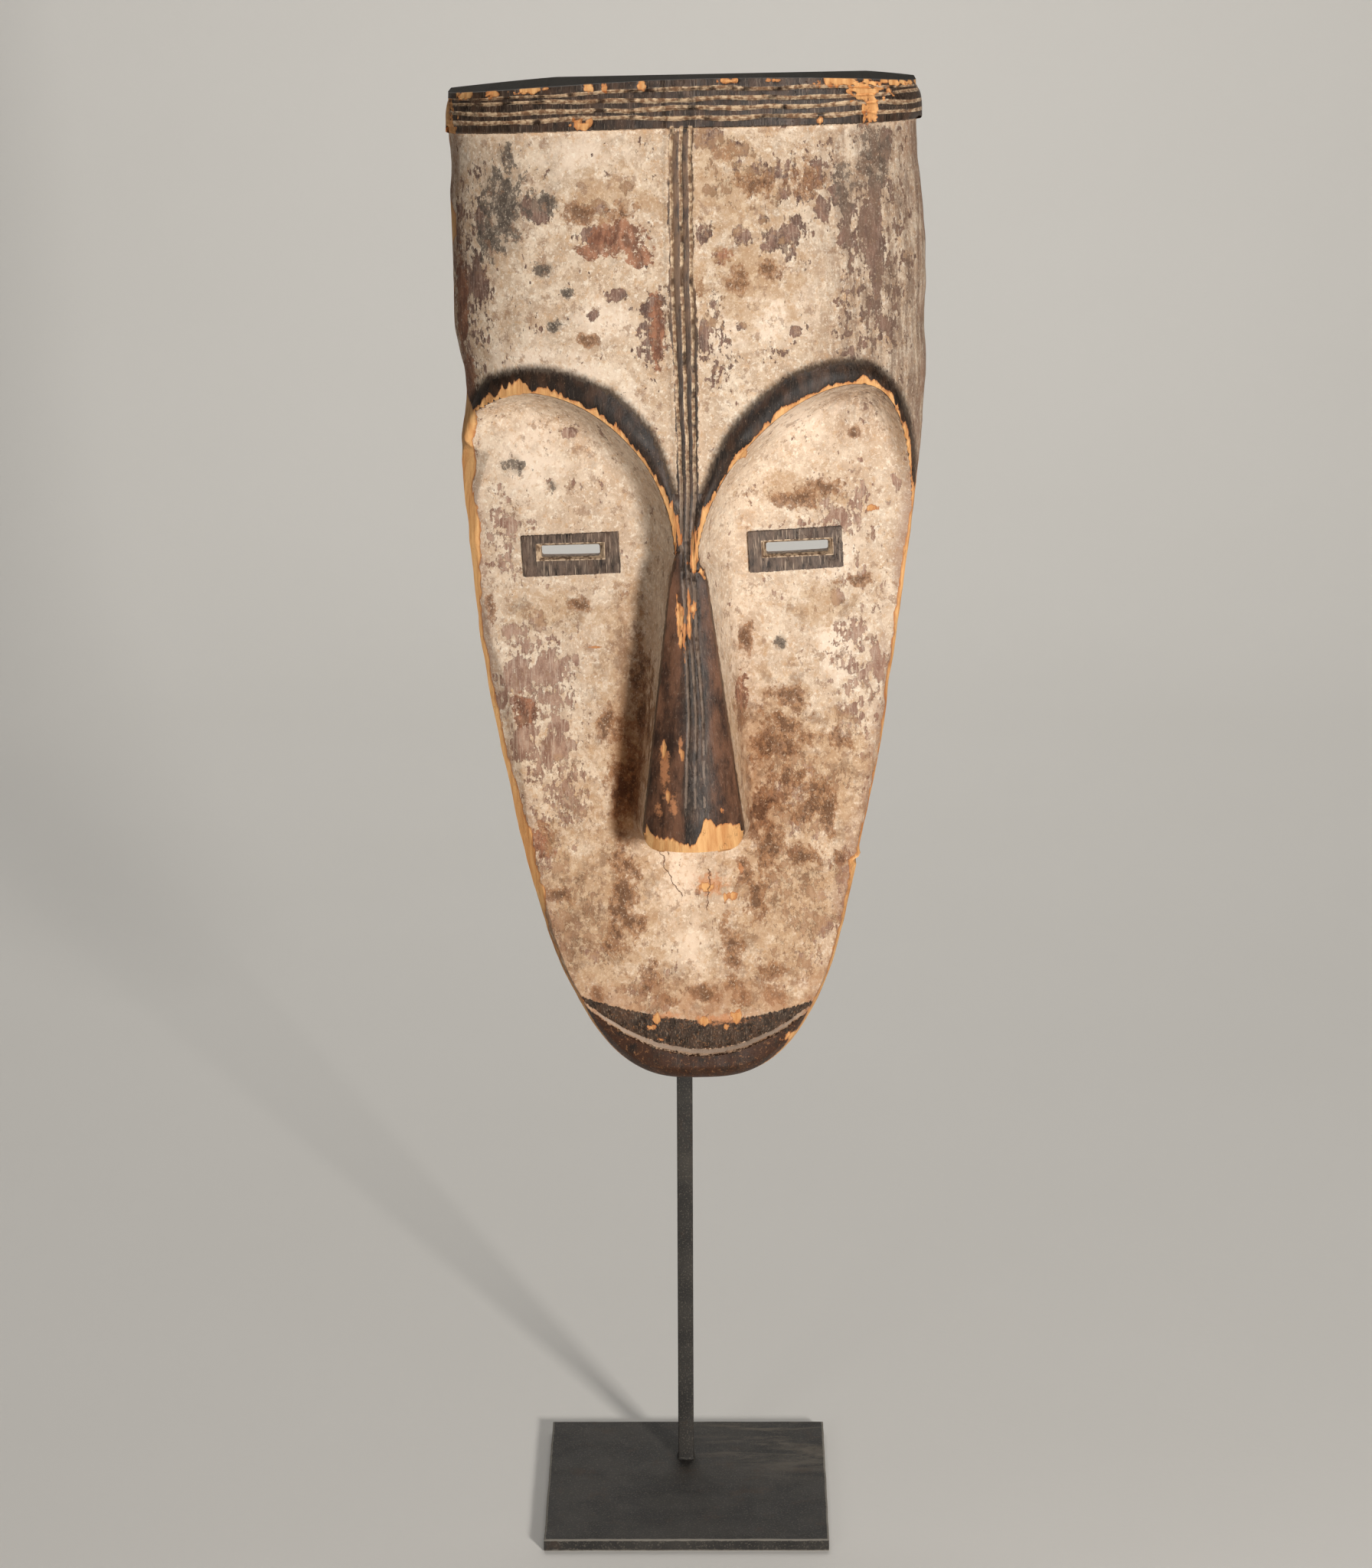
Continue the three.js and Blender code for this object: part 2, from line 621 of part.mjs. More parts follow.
function toSolid(geometry) {
  const bare = geometry.clone();
  bare.deleteAttribute('normal');
  bare.deleteAttribute('uv');
  const merged = mergeVertices(bare, WELD_DISTANCE);
  const vertProperties = new Float32Array(merged.getAttribute('position').array);
  const triVerts = new Uint32Array(merged.index.array);
  return new wasm.Manifold(new wasm.Mesh({ numProp: 3, vertProperties, triVerts }));
}

function toGeometry(solid) {
  const mesh = solid.getMesh();
  const geometry = new THREE.BufferGeometry();
  geometry.setAttribute('position', new THREE.BufferAttribute(new Float32Array(mesh.vertProperties), 3));
  geometry.setIndex(new THREE.BufferAttribute(new Uint32Array(mesh.triVerts), 1));
  geometry.computeVertexNormals();
  return geometry;
}

// The raised frame, the slot and the slot's bevelled mouth, laid on the cheek as it slopes there.
function eyeParts(eye) {
  const depthAt = (u, w) => frontDepth(u, w, w, edgeDistance(u, w));
  const reach = EYE_SLOPE_REACH;
  const slopeU = (depthAt(eye.u + reach, eye.w) - depthAt(eye.u - reach, eye.w)) / (2 * reach);
  const slopeW = (depthAt(eye.u, eye.w + reach) - depthAt(eye.u, eye.w - reach)) / (2 * reach);
  const surface = depthAt(eye.u, eye.w);
  const lay = (geometry, tilt, u, w, p) => {
    geometry.rotateY(-THREE.MathUtils.degToRad(tilt));
    geometry.rotateX(Math.atan(slopeW));
    geometry.rotateZ(-Math.atan(slopeU));
    return toSolid(geometry.translate(u, -p, w));
  };
  const straight = { u: 0, w: 0 };
  const twice = { u: 2 * SLOT_BEVEL.u, w: 2 * SLOT_BEVEL.w };
  const frame = taperedBlock(eye.width, eye.height, EYE_FRAME_DEPTH, straight);
  const slot = taperedBlock(eye.slotLength, SLOT_HEIGHT, SLOT_DEPTH, straight);
  const mouth = taperedBlock(eye.slotLength, SLOT_HEIGHT, 2 * SLOT_BEVEL_DEPTH, twice);
  const proud = surface + EYE_FRAME_PROUD;
  return {
    frame: lay(frame, eye.tilt, eye.u, eye.w, proud - EYE_FRAME_DEPTH / 2),
    slot: lay(slot, eye.slotTilt, eye.slotU, eye.slotW, surface),
    mouth: lay(mouth, eye.slotTilt, eye.slotU, eye.slotW, proud),
  };
}

function maskGeometry() {
  let solid = toSolid(maskBody());
  const eyes = EYES.map(eyeParts);
  for (const eye of eyes) solid = solid.add(eye.frame);
  solid = solid.subtract(toSolid(hollowBody()));
  for (const eye of eyes) solid = solid.subtract(eye.slot).subtract(eye.mouth);
  return toGeometry(solid);
}

// Stand

function plateGeometry() {
  const half = PLATE_SIDE / 2 - PLATE_BEVEL;
  const square = new THREE.Shape([
    new THREE.Vector2(-half, -half),
    new THREE.Vector2(half, -half),
    new THREE.Vector2(half, half),
    new THREE.Vector2(-half, half),
  ]);
  const plate = new THREE.ExtrudeGeometry(square, {
    depth: PLATE_THICKNESS - 2 * PLATE_BEVEL,
    bevelThickness: PLATE_BEVEL,
    bevelSize: PLATE_BEVEL,
    bevelSegments: 1,
  });
  return plate.translate(0, 0, PLATE_BEVEL);
}

// The crossbar lies flat against the inside of the mask's top wall, so it leans with the mask.
const maskFrame = new THREE.Group();
maskFrame.position.copy(MASK_ORIGIN);
maskFrame.rotation.set(-MASK_LEAN, -MASK_ROLL, 0, 'YXZ');
maskFrame.updateMatrixWorld(true);

function crossbarPlace() {
  const top = MASK_HEIGHT - TOP_WALL - TOUCH_GAP - BAR_SIDE / 2;
  const axis = maskFrame.localToWorld(new THREE.Vector3(0, 0, top));
  const forward = (axis.y - ROD_Y) / Math.cos(MASK_LEAN);
  const across = (ROD_X - axis.x) / Math.cos(MASK_ROLL);
  return new THREE.Vector3(across, -forward, top);
}

// The rod's top is cut to the crossbar's slope.
function rodGeometry(foot, crossbarAt) {
  const rod = new THREE.BoxGeometry(BAR_SIDE, BAR_SIDE, 1);
  const position = rod.getAttribute('position');
  const under = maskFrame.localToWorld(crossbarAt.clone().setZ(crossbarAt.z - BAR_SIDE / 2 - TOUCH_GAP));
  const normal = new THREE.Vector3(0, 0, 1).applyQuaternion(maskFrame.quaternion);
  for (let i = 0; i < position.count; i++) {
    const x = position.getX(i) + ROD_X;
    const y = position.getY(i) + ROD_Y;
    const top = under.z - (normal.x * (x - under.x) + normal.y * (y - under.y)) / normal.z;
    position.setXYZ(i, x, y, position.getZ(i) > 0 ? top : foot);
  }
  rod.computeVertexNormals();
  return rod;
}

// Materials and pieces

const paintedWood = new THREE.MeshStandardMaterial({ color: '#c9b798', roughness: 0.82, metalness: 0 });
const blackSteel = new THREE.MeshStandardMaterial({ color: '#2f3031', roughness: 0.5, metalness: 0.85 });

function piece(name, geometry, material) {
  const mesh = new THREE.Mesh(geometry, material);
  mesh.name = name;
  return mesh;
}

const crossbarAt = crossbarPlace();
const crossbarShape = new THREE.BoxGeometry(CROSSBAR_LENGTH, BAR_SIDE, BAR_SIDE);
const crossbar = piece('stand_crossbar', crossbarShape, blackSteel);
crossbar.position.copy(crossbarAt);
maskFrame.add(piece('mask', maskGeometry(), paintedWood));
maskFrame.add(crossbar);

const group = new THREE.Group();
group.add(piece('stand_plate', plateGeometry(), blackSteel));
group.add(piece('stand_rod', rodGeometry(PLATE_THICKNESS + TOUCH_GAP, crossbarAt), blackSteel));
group.add(maskFrame);

export default group;
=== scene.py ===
import math

import bpy
import numpy as np
from mathutils import Matrix, Vector
from mathutils.kdtree import KDTree


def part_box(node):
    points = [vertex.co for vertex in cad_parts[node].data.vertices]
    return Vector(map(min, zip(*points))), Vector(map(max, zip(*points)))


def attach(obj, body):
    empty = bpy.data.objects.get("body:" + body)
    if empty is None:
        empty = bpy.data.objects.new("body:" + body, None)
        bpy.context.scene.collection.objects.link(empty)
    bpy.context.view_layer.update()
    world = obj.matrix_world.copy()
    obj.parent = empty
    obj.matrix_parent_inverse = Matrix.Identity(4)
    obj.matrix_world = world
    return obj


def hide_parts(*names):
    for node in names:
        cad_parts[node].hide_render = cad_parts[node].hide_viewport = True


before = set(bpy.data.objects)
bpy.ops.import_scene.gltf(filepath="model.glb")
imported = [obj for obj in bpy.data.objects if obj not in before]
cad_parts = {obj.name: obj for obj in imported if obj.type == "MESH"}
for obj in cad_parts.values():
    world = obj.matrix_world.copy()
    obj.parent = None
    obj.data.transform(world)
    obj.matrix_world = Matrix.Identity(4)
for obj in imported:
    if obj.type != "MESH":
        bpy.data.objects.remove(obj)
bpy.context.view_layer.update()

MM = 0.001

# Where the mask hangs
MASK_ORIGIN = Vector((6.2, 28.2, 289.4))
MASK_LEAN = math.radians(5)
MASK_ROLL = math.radians(1)

# Outline of the mask, and where the carver's hand left it uneven: (depth of the dip, its w, its reach)
HEIGHT = 622.5
HALF_WIDTH = 144
WIDEST_AT = 457
OUTLINE_FULLNESS = 1.29
OUTLINE_POWER = 0.339
MIDDLE_FACE = 1.3
MIDDLE_FOREHEAD = 6.2
MIDDLE_CHIN = 3.5
UNEVEN_LEFT = [
    (5, 437, 38), (-1, 376, 48), (1.8, 165, 90), (0.9, 398, 9), (0.8, 352, 12), (-0.8, 170, 22),
    (1.2, 574, 20),
]
UNEVEN_RIGHT = [(1.6, 150, 70), (0.7, 250, 18), (1, 470, 25)]
CHIPS_RIGHT = [(3.2, 139.5, 2.2), (-1.3, 143.5, 4)]
CHIP_FADE = 6
RIGHT_TOP_TAPER = 4.5
TOP_TAPER_RANGE = (520, 590)
JAW_W = 22.5
CHIN_TO_FACE = (20, 150)
FACE_TO_FOREHEAD = (260, 440)
TOP_CHAMFER = 3.5
TOP_CORNER = {-1: 2.2, 1: 3.4}
TOP_CORNER_RANGE = (602, 614)
EDGE_WOBBLE = 0.35
OUTLINE_POINTS = 900
OUTLINE_CROWDING = 1.6

# The D-shaped block that the face is carved from
CROWN_DEPTH = 106
CROWN_AT = 490
CROWN_TOP_DROP = 7
CROWN_CHIN_DROP = 22
CROWN_CHIN_POWER = 1.3
SIDE_DEPTH_CHIN = 52
SIDE_DEPTH_FACE = 48
SIDE_DEPTH_FOREHEAD = 34
SIDE_TO_FOREHEAD = (340, 440)
JAW_FORWARD = 13
JAW_AT = 130
JAW_REACH = 130
CHAMFER_LEFT = 0.8
CHAMFER_RIGHT = 1.5
CHAMFER_CHIN = 4
CHAMFER_NONE = 40
CHAMFER_END = (395, 440)
ROUNDING_CHIN = 40
ROUNDING_FULL = 140
ROUNDING_FULL_AT = 420
ROUNDING_POWER = 2.8

# Headband across the top
BAND_HEIGHT = 28
BAND_PROUD = 3
BAND_SIDE_PROUD = {-1: 1.9, 1: 3.6}
BAND_FLANK = 1.6
BAND_DROOP = {-1: 4.2, 1: 1.2}
DROOP_RANGE = (486, 598)
TOP_DROOP = {-1: 4.5, 1: 5.5}
TOP_DROOP_POWER = {-1: 1.2, 1: 3}
TOP_DROOP_RANGE = (610, 622.5)
BAND_GROOVES = (616.5, 611.2, 605.9, 600.4)
BAND_GROOVE_HALF = 1.2
BAND_GROOVE_DEPTH = 1.4

# The face under the brows
FACE_DEPTH_EYES = 62
FACE_DEPTH_MOUTH = 76
JAW_FALL = {-1: 8, 1: 9}
EYE_FALL = {-1: 12, 1: 14}
JAW_TO_EYES = (180, 300)
FACE_FALL_POWER = 3
NARROWEST_FACE = 30
BROWS = {
    -1: dict(u=-90, w=340, height=97, inner=85, inner_power=1.85, outer=74, outer_power=1.85),
    1: dict(u=102, w=330, height=109, inner=95, inner_power=1.7, outer=38.5, outer_power=2.85),
}
BROW_PROUD = 2.6
BROW_FLAT_SHARE = 0.35
BROW_NARROWEST = 6
BROW_END = 1.07
BROW_FOOT = 325
COVE_OUTER = 9
COVE_TOP = 21
COVE_BRIDGE = 27
COVE_POWER = 2.2

# Central ridge and nose
RIDGE_PROUD = 1
RIDGE_FLANK = (0.5, 2.5)
RIDGE_RISES = (340, 400)
BRIDGE_W = 370
BRIDGE_DEPTH = 101
BRIDGE_BLEND = (350, 410)
BRIDGE_PINCH = 2
BRIDGE_PINCH_REACH = 22
NOSE_U = 2.7
BRIDGE_U = 2.5
NOSE_TOP_W = 341
NOSE_TIP_W = 161.5
NOSE_TIP_DEPTH = 134.6
NOSE_HALF_TOP = 8.2
NOSE_HALF_TIP = 31
NOSE_CORNER = 9
NOSE_CAMBER = 0.019
NOSE_FLANK_TIP = 9
NOSE_UNDERCUT = 2.5

# The three grooves that run down the ridge and the nose: their middle and how far apart they are, by height
CREST_W = (185, 245, 300, 350, 372, 426, 482, 557, 595)
CREST_U = (4.2, 5.4, 3.4, 2.2, 3.6, 2.9, 2.2, 2.4, 3.5)
CREST_PITCH = (5.8, 4.2, 3.2, 3.1, 4, 4.7, 5.6, 5.7, 5.5)
CREST_GROOVE_DEPTH = 0.8
CREST_GROOVE_HALF = 1.15
CREST_GROOVES_DEEPEN = (180, 260)
CREST_FOOT = 188
CREST_HEAD_GAP = 5

# Chips in the paint, and the unevenness that the carver's tools left
CHIP_DEPTH = 0.9
CHIP_SLOPE = 1.6
ARRIS_CHIPS = 0.8
BARE_CHIN = 40
HAND_FROM_EDGE = 12

# Mouth and chin
MOUTH_W = 42
MOUTH_MIDDLE = 12
MOUTH_RISE = 13.5
MOUTH_REACH = 75
MOUTH_POWER = 1.5
LIP_W = 23
LIP_MIDDLE = 3
LIP_RISE = 25
LIP_REACH = 63
LIP_POWER = 1.9
LIP_TILT = 0.05
MOUTH_HALF = 70
MOUTH_NOTCH = 5
MOUTH_END_NOTCH = 0.8
LEDGE_HEIGHT = 3
LEDGE_PROUD = 1

# Eyes: raised frames, each with a slot right through
EYES = [
    dict(
        u=-69.3, w=333.6, width=59, height=25, tilt=2.3,
        slot_u=-69.5, slot_w=335.5, slot=36, slot_tilt=1.3,
    ),
    dict(
        u=67.9, w=334.2, width=57, height=25, tilt=1.9,
        slot_u=69, slot_w=335.3, slot=38, slot_tilt=0.9,
    ),
]
EYE_FRAME_PROUD = 1.2
EYE_FRAME_DEPTH = 6
EYE_FRAME_CORNER = 0.8
EYE_SLOPE_REACH = 12
SLOT_HEIGHT = 7.2
SLOT_DEPTH = 60
SLOT_CORNER = 1.2
SLOT_BEVEL = (2.6, 1.3)
SLOT_BEVEL_DEPTH = 3.5
SLOT_BEVEL_CORNER = 0.9

# Hollow behind the face
SIDE_WALL = 13
CHIN_WALL = 12
TOP_WALL = 16
FRONT_WALL = 11.5
FOREHEAD_WALL = 14
HOLLOW_STEP = (425, 490)
HOLLOW_RIM_DEPTH = 12
HOLLOW_ROUNDING = 90
HOLLOW_POWER = 2.6
BACK_CLEARANCE = 5
LEVEL_ROUNDS = 24

# Stand
BAR_EASE = 0.9
CORNER_STEPS = 5
# The plate's edge: (height above its underside or below its top, how far in, how bright its arris is, worn
# and partly a painted highlight)
PLATE_PROFILE = [(0, 0.8, 1), (0.3, 0.25, 1), (0.8, 0, 0.8), (1.5, 0, 0)]
PLATE_WORN = 0.9
PLATE_STEPS = 40
SAWN_EDGE = 0.3
WELD_SPREAD = 0.8
WELD_HEIGHT = 2
WELD_RINGS = (0, 0.3, 0.7, 1.2)
ROD_STEPS = 10
CROSSBAR_STEPS = 6

# Camera, in metres and degrees
CAMERA_PLACE = (0.0204, -2.8930, 1.3557)
CAMERA_YAW = -0.388
CAMERA_PITCH = 16.872
CAMERA_ROLL = 0.216
CAMERA_LENS = 112.0
CAMERA_SENSOR = 36.0
CAMERA_REACH = 50

# Room, in metres
FLOOR_HALF_WIDTH = 4
FLOOR_FRONT = -5
FLOOR_BACK = 1.8
SWEEP_RADIUS = 1.2
SWEEP_STEPS = 16
BACKDROP_TOP = 4
FACE = Vector((0, 0, 0.62))
LAMP_DISTANCE = 3.2

# Fineness of the mesh. Rows go up the mask in stretches of (from, to, number of steps).
FRONT_COLUMNS = 200
FRONT_ROWS = [
    (0, 19, 16), (19, 28, 12), (28, 56, 26), (56, 156, 38), (156, 176, 20), (176, 325, 58),
    (325, 445, 64), (445, 592, 52), (592, 596, 6), (596, HEIGHT, 40),
]
HOLLOW_COLUMNS = 90
HOLLOW_ROWS = [(CHIN_WALL, 40, 12), (40, 425, 68), (425, 490, 14), (490, HEIGHT - TOP_WALL, 24)]
WALL_STEPS = 9
COLUMN_CROWDING = 0.52
CURVE_STEPS = 240
CUT_POINTS = 40
SHARP_ANGLE = math.radians(40)

# Which grid points are moved onto an edge of the carving: how near it, in steps, and where on the mask
SNAP_SHARE = 0.46
SNAP_FROM_EDGE = 1.5
BROWS_FROM = 150
MOUTH_UP_TO = 70
MOUTH_SPAN = (-80, 85, 400)

# What stands for far outside a part, in millimetres
FAR_OUT = -9.0


def mix(a, b, t):
    return a + (b - a) * t


def smooth(x, low, high):
    t = np.clip((x - low) / (high - low), 0, 1)
    return t * t * (3 - 2 * t)


def lattice(i, j, seed):
    """A repeatable number from 0 to 1 for each whole-number place."""
    n = (i.astype(np.int64) * 73856093) ^ (j.astype(np.int64) * 19349663) ^ (seed * 83492791)
    n = (n ^ (n >> 13)) * 1274126177 & 0x7FFFFFFF
    return ((n ^ (n >> 16)) & 0xFFFF) / 65535


def wobble(x, y, seed):
    """Smooth noise from -1 to 1, one bump per unit."""
    x, y = np.broadcast_arrays(np.asarray(x, float), np.asarray(y, float))
    i, j = np.floor(x), np.floor(y)
    s, t = smooth(x - i, 0, 1), smooth(y - j, 0, 1)
    low = mix(lattice(i, j, seed), lattice(i + 1, j, seed), s)
    high = mix(lattice(i, j + 1, seed), lattice(i + 1, j + 1, seed), s)
    return mix(low, high, t) * 2 - 1


def rough(x, y, seed, octaves=3):
    """Noise from about -1 to 1 with finer bumps on the coarse ones."""
    total = 0
    for k in range(octaves):
        total = total + wobble(x * 2**k, y * 2**k, seed + k) * 0.55**k
    return total


def sided(pair, side):
    """Picks the value for the viewer's left, below 0, or right."""
    return np.where(np.asarray(side) < 0, pair[-1], pair[1])


def bump(x):
    """1 at 0, falling smoothly to 0 at 1 either way."""
    return (1 - np.clip(np.abs(x), 0, 1) ** 2) ** 2


def levels(stretches):
    rows = [stretches[0][0]]
    for low, high, count in stretches:
        rows += [mix(low, high, k / count) for k in range(1, count + 1)]
    return np.array(rows)


# Outline


def half_width(w):
    t = np.clip(1 - w / WIDEST_AT, 0, 1)
    return HALF_WIDTH * (1 - t**OUTLINE_FULLNESS) ** OUTLINE_POWER


def outline_height(half):
    share = 1 - (half / HALF_WIDTH) ** (1 / OUTLINE_POWER)
    return WIDEST_AT * (1 - share ** (1 / OUTLINE_FULLNESS))


def middle(w):
    face = mix(MIDDLE_FACE, MIDDLE_FOREHEAD, smooth(w, *FACE_TO_FOREHEAD))
    return mix(MIDDLE_CHIN, face, smooth(w, *CHIN_TO_FACE))


def dips(places, w):
    return sum(depth * bump((w - at) / reach) for depth, at, reach in places)


def unevenness(side, w):
    """How far the edge falls short of the true outline."""
    left = dips(UNEVEN_LEFT, w)
    right = dips(UNEVEN_RIGHT, w) + dips(CHIPS_RIGHT, w)
    right = right + RIGHT_TOP_TAPER * smooth(w, *TOP_TAPER_RANGE)
    carved = EDGE_WOBBLE * (1 + rough(w / 19, side * 5.0, 11)) * smooth(w, 5, 60)
    return np.where(side < 0, left, right) + carved


def band_share(level):
    return smooth(level, HEIGHT - BAND_HEIGHT - BAND_FLANK, HEIGHT - BAND_HEIGHT)


def outline_half(side, w):
    low, high = TOP_CORNER_RANGE
    rounded = sided(TOP_CORNER, side) * np.clip((w - low) / (high - low), 0, 1) ** 2
    return half_width(w) - unevenness(side, w) - rounded + sided(BAND_SIDE_PROUD, side) * band_share(w)


class Line:
    """A finely drawn line in the (u, w) plane that answers how far points are from it."""

    def __init__(self, u, w):
        self.points = np.stack([u, w], axis=1)
        self.tree = KDTree(len(u))
        for k, (a, b) in enumerate(self.points):
            self.tree.insert((a, b, 0), k)
        self.tree.balance()

    def nearest(self, u, w):
        """Distances to the line, and where along it the nearest places are, in points."""
        closest = np.array([self.tree.find((a, b, 0))[1] for a, b in zip(u, w)], int)
        distance = np.full(len(u), np.inf)
        along = np.zeros(len(u))
        for start in (closest - 1, closest):
            k = np.clip(start, 0, len(self.points) - 2)
            a = self.points[k]
            d = self.points[k + 1] - a
            t = ((u - a[:, 0]) * d[:, 0] + (w - a[:, 1]) * d[:, 1]) / np.maximum(1e-9, (d**2).sum(axis=1))
            t = np.clip(t, 0, 1)
            gap = np.hypot(u - a[:, 0] - t * d[:, 0], w - a[:, 1] - t * d[:, 1])
            better = gap < distance
            distance[better] = gap[better]
            along[better] = (k + t)[better]
        return distance, along

    def at(self, along):
        k = np.arange(len(self.points))
        return np.interp(along, k, self.points[:, 0]), np.interp(along, k, self.points[:, 1])


def outline(side):
    w = HEIGHT * np.linspace(0, 1, OUTLINE_POINTS) ** OUTLINE_CROWDING
    return Line(middle(w) + side * outline_half(side, w), w)


OUTLINES = {side: outline(side) for side in (-1, 1)}


def edge_distance(u, w):
    return np.minimum(OUTLINES[-1].nearest(u, w)[0], OUTLINES[1].nearest(u, w)[0])


# The block


def crown_depth(w):
    top = CROWN_DEPTH - CROWN_TOP_DROP * (np.maximum(0, w - CROWN_AT) / (HEIGHT - CROWN_AT)) ** 2
    return top - CROWN_CHIN_DROP * (np.maximum(0, CROWN_AT - w) / CROWN_AT) ** CROWN_CHIN_POWER


def side_depth(w):
    face = mix(SIDE_DEPTH_CHIN, SIDE_DEPTH_FACE, smooth(w, *CHIN_TO_FACE))
    jaw = JAW_FORWARD * bump((w - JAW_AT) / JAW_REACH)
    return mix(face, SIDE_DEPTH_FOREHEAD, smooth(w, *SIDE_TO_FOREHEAD)) + jaw


def block_depth(w, edge):
    rise = np.clip(1 - w / ROUNDING_FULL_AT, 0, 1)
    rounding = mix(ROUNDING_CHIN, ROUNDING_FULL, 1 - rise * rise)
    t = np.clip(1 - edge / rounding, 0, 1)
    return mix(side_depth(w), crown_depth(w), np.sqrt(1 - t**ROUNDING_POWER))


def rim_depth(u, w, edge):
    """The flat chamfer round the face's front edge."""
    face = np.where(u < middle(w), CHAMFER_LEFT, CHAMFER_RIGHT)
    slope = mix(CHAMFER_CHIN, face, smooth(w, *CHIN_TO_FACE))
    return side_depth(w) + edge * mix(slope, CHAMFER_NONE, smooth(w, *CHAMFER_END))


# Nose and brows


def nose_middle(w):
    return mix(NOSE_U, BRIDGE_U, np.clip((w - NOSE_TIP_W) / (BRIDGE_W - NOSE_TIP_W), 0, 1))


def nose_half(w):
    up = np.clip((w - NOSE_TIP_W) / (NOSE_TOP_W - NOSE_TIP_W), 0, 1)
    pinch = BRIDGE_PINCH * smooth(w, NOSE_TOP_W - BRIDGE_PINCH_REACH, NOSE_TOP_W)
    corner = np.clip(1 - (w - NOSE_TIP_W) / NOSE_CORNER, 0, 1)
    return mix(NOSE_HALF_TIP, NOSE_HALF_TOP, up) - pinch - NOSE_CORNER * (1 - np.sqrt(1 - corner * corner))


def nose_roof(u, w):
    crest = BRIDGE_DEPTH + (NOSE_TIP_DEPTH - BRIDGE_DEPTH) * (BRIDGE_W - w) / (BRIDGE_W - NOSE_TIP_W)
    return crest - NOSE_CAMBER * (u - nose_middle(w)) ** 2


def brow_line(side):
    """The brow's lower edge, the nose's flank and the cut under its tip, as one line.

    Returns with it how wide the cove is at each of its points.
    """
    brow = BROWS[side]
    angle = np.linspace(0, math.pi, CURVE_STEPS + 1)
    outer = angle < math.pi / 2
    curve = 2 / np.where(outer, brow["outer_power"], brow["inner_power"])
    across = np.abs(np.cos(angle)) ** curve * np.where(outer, brow["outer"] * side, -brow["inner"] * side)
    t = 2 * angle / math.pi
    cove = np.where(outer, mix(COVE_OUTER, COVE_TOP, t), mix(COVE_TOP, COVE_BRIDGE, t - 1))
    down = np.arange(1, CURVE_STEPS + 1) / CURVE_STEPS
    w = mix(min(brow["w"], NOSE_TOP_W), NOSE_TIP_W, down)
    flank_u = nose_middle(w) + side * nose_half(w)
    flank = mix(COVE_BRIDGE, NOSE_FLANK_TIP, np.sqrt(down))
    cut = np.linspace(flank_u[-1], nose_middle(NOSE_TIP_W), CUT_POINTS)[1:]
    us = np.concatenate([brow["u"] + across, flank_u, cut])
    arch = brow["w"] + np.abs(np.sin(angle)) ** curve * brow["height"]
    ws = np.concatenate([arch, w, NOSE_TIP_W + 0 * cut])
    undercut = mix(flank[-1], NOSE_UNDERCUT, np.linspace(0, 1, CUT_POINTS)[1:])
    coves = np.concatenate([cove, flank, undercut])
    return Line(us, ws), coves


BROW_LINES = {side: brow_line(side) for side in (-1, 1)}


def under_brow(side, u, w):
    brow = BROWS[side]
    across = (u - brow["u"]) * side
    reach = np.where(across > 0, brow["outer"], brow["inner"])
    curve = np.where(across > 0, brow["outer_power"], brow["inner_power"])
    up = np.maximum(0, w - brow["w"]) / brow["height"]
    inside = (np.abs(across) / reach) ** curve + up**curve < 1
    return np.where(w < brow["w"], across > -brow["inner"], inside)


def on_nose(u, w):
    return (w > NOSE_TIP_W) & (w < NOSE_TOP_W) & (np.abs(u - nose_middle(w)) < nose_half(w))


class Carved:
    """Where points lie from the brow and nose edges.

    depth: distance into the hollowed face, negative outside it.
    along: 0 to 1 from a brow's outer end to the bridge, then to 2 down the nose's flank.
    cove: the cove's width there.
    right: on the viewer's right.
    by_nose, by_brow: at the height of the nose, and where the nearest edge is a brow's.
    """

    def __init__(self, u, w):
        self.right = u >= nose_middle(w)
        self.depth, self.along, self.cove = (np.zeros(len(u)) for _ in range(3))
        for side in (-1, 1):
            here = self.right == (side > 0)
            line, coves = BROW_LINES[side]
            distance, index = line.nearest(u[here], w[here])
            under = (w[here] < NOSE_TIP_W) | under_brow(side, u[here], w[here])
            inside = ~on_nose(u[here], w[here]) & under
            self.depth[here] = np.where(inside, distance, -distance)
            self.along[here] = index / CURVE_STEPS
            self.cove[here] = np.interp(index, np.arange(len(coves)), coves)
        self.by_nose = (w > NOSE_TIP_W) & (w < NOSE_TOP_W)
        self.by_brow = (self.along < BROW_END) & (w > BROW_FOOT)


# Mouth and face


def lip_line(u):
    rise = LIP_RISE * (np.abs(u - LIP_MIDDLE) / LIP_REACH) ** LIP_POWER
    return LIP_W + rise - LIP_TILT * np.maximum(0, u - LIP_MIDDLE) + 0.5 * rough(u / 14, 0 * u, 21)


def mouth_line(u):
    return MOUTH_W + MOUTH_RISE * (np.abs(u - MOUTH_MIDDLE) / MOUTH_REACH) ** MOUTH_POWER


def mouth_notch(u, w):
    depth = MOUTH_NOTCH * np.clip(1 - ((u - LIP_MIDDLE) / MOUTH_HALF) ** 2, 0, 1) + MOUTH_END_NOTCH
    top, ledge = mouth_line(u), lip_line(u)
    sunk = depth * (top - w) / np.maximum(1, top - ledge)
    chin = mix(depth, -LEDGE_PROUD, np.clip((ledge - w) / LEDGE_HEIGHT, 0, 1))
    return np.where(w > top, 0, np.where(w > ledge, sunk, chin))


def face_middle_depth(w):
    return mix(FACE_DEPTH_MOUTH, FACE_DEPTH_EYES, smooth(w, MOUTH_W, NOSE_TOP_W))


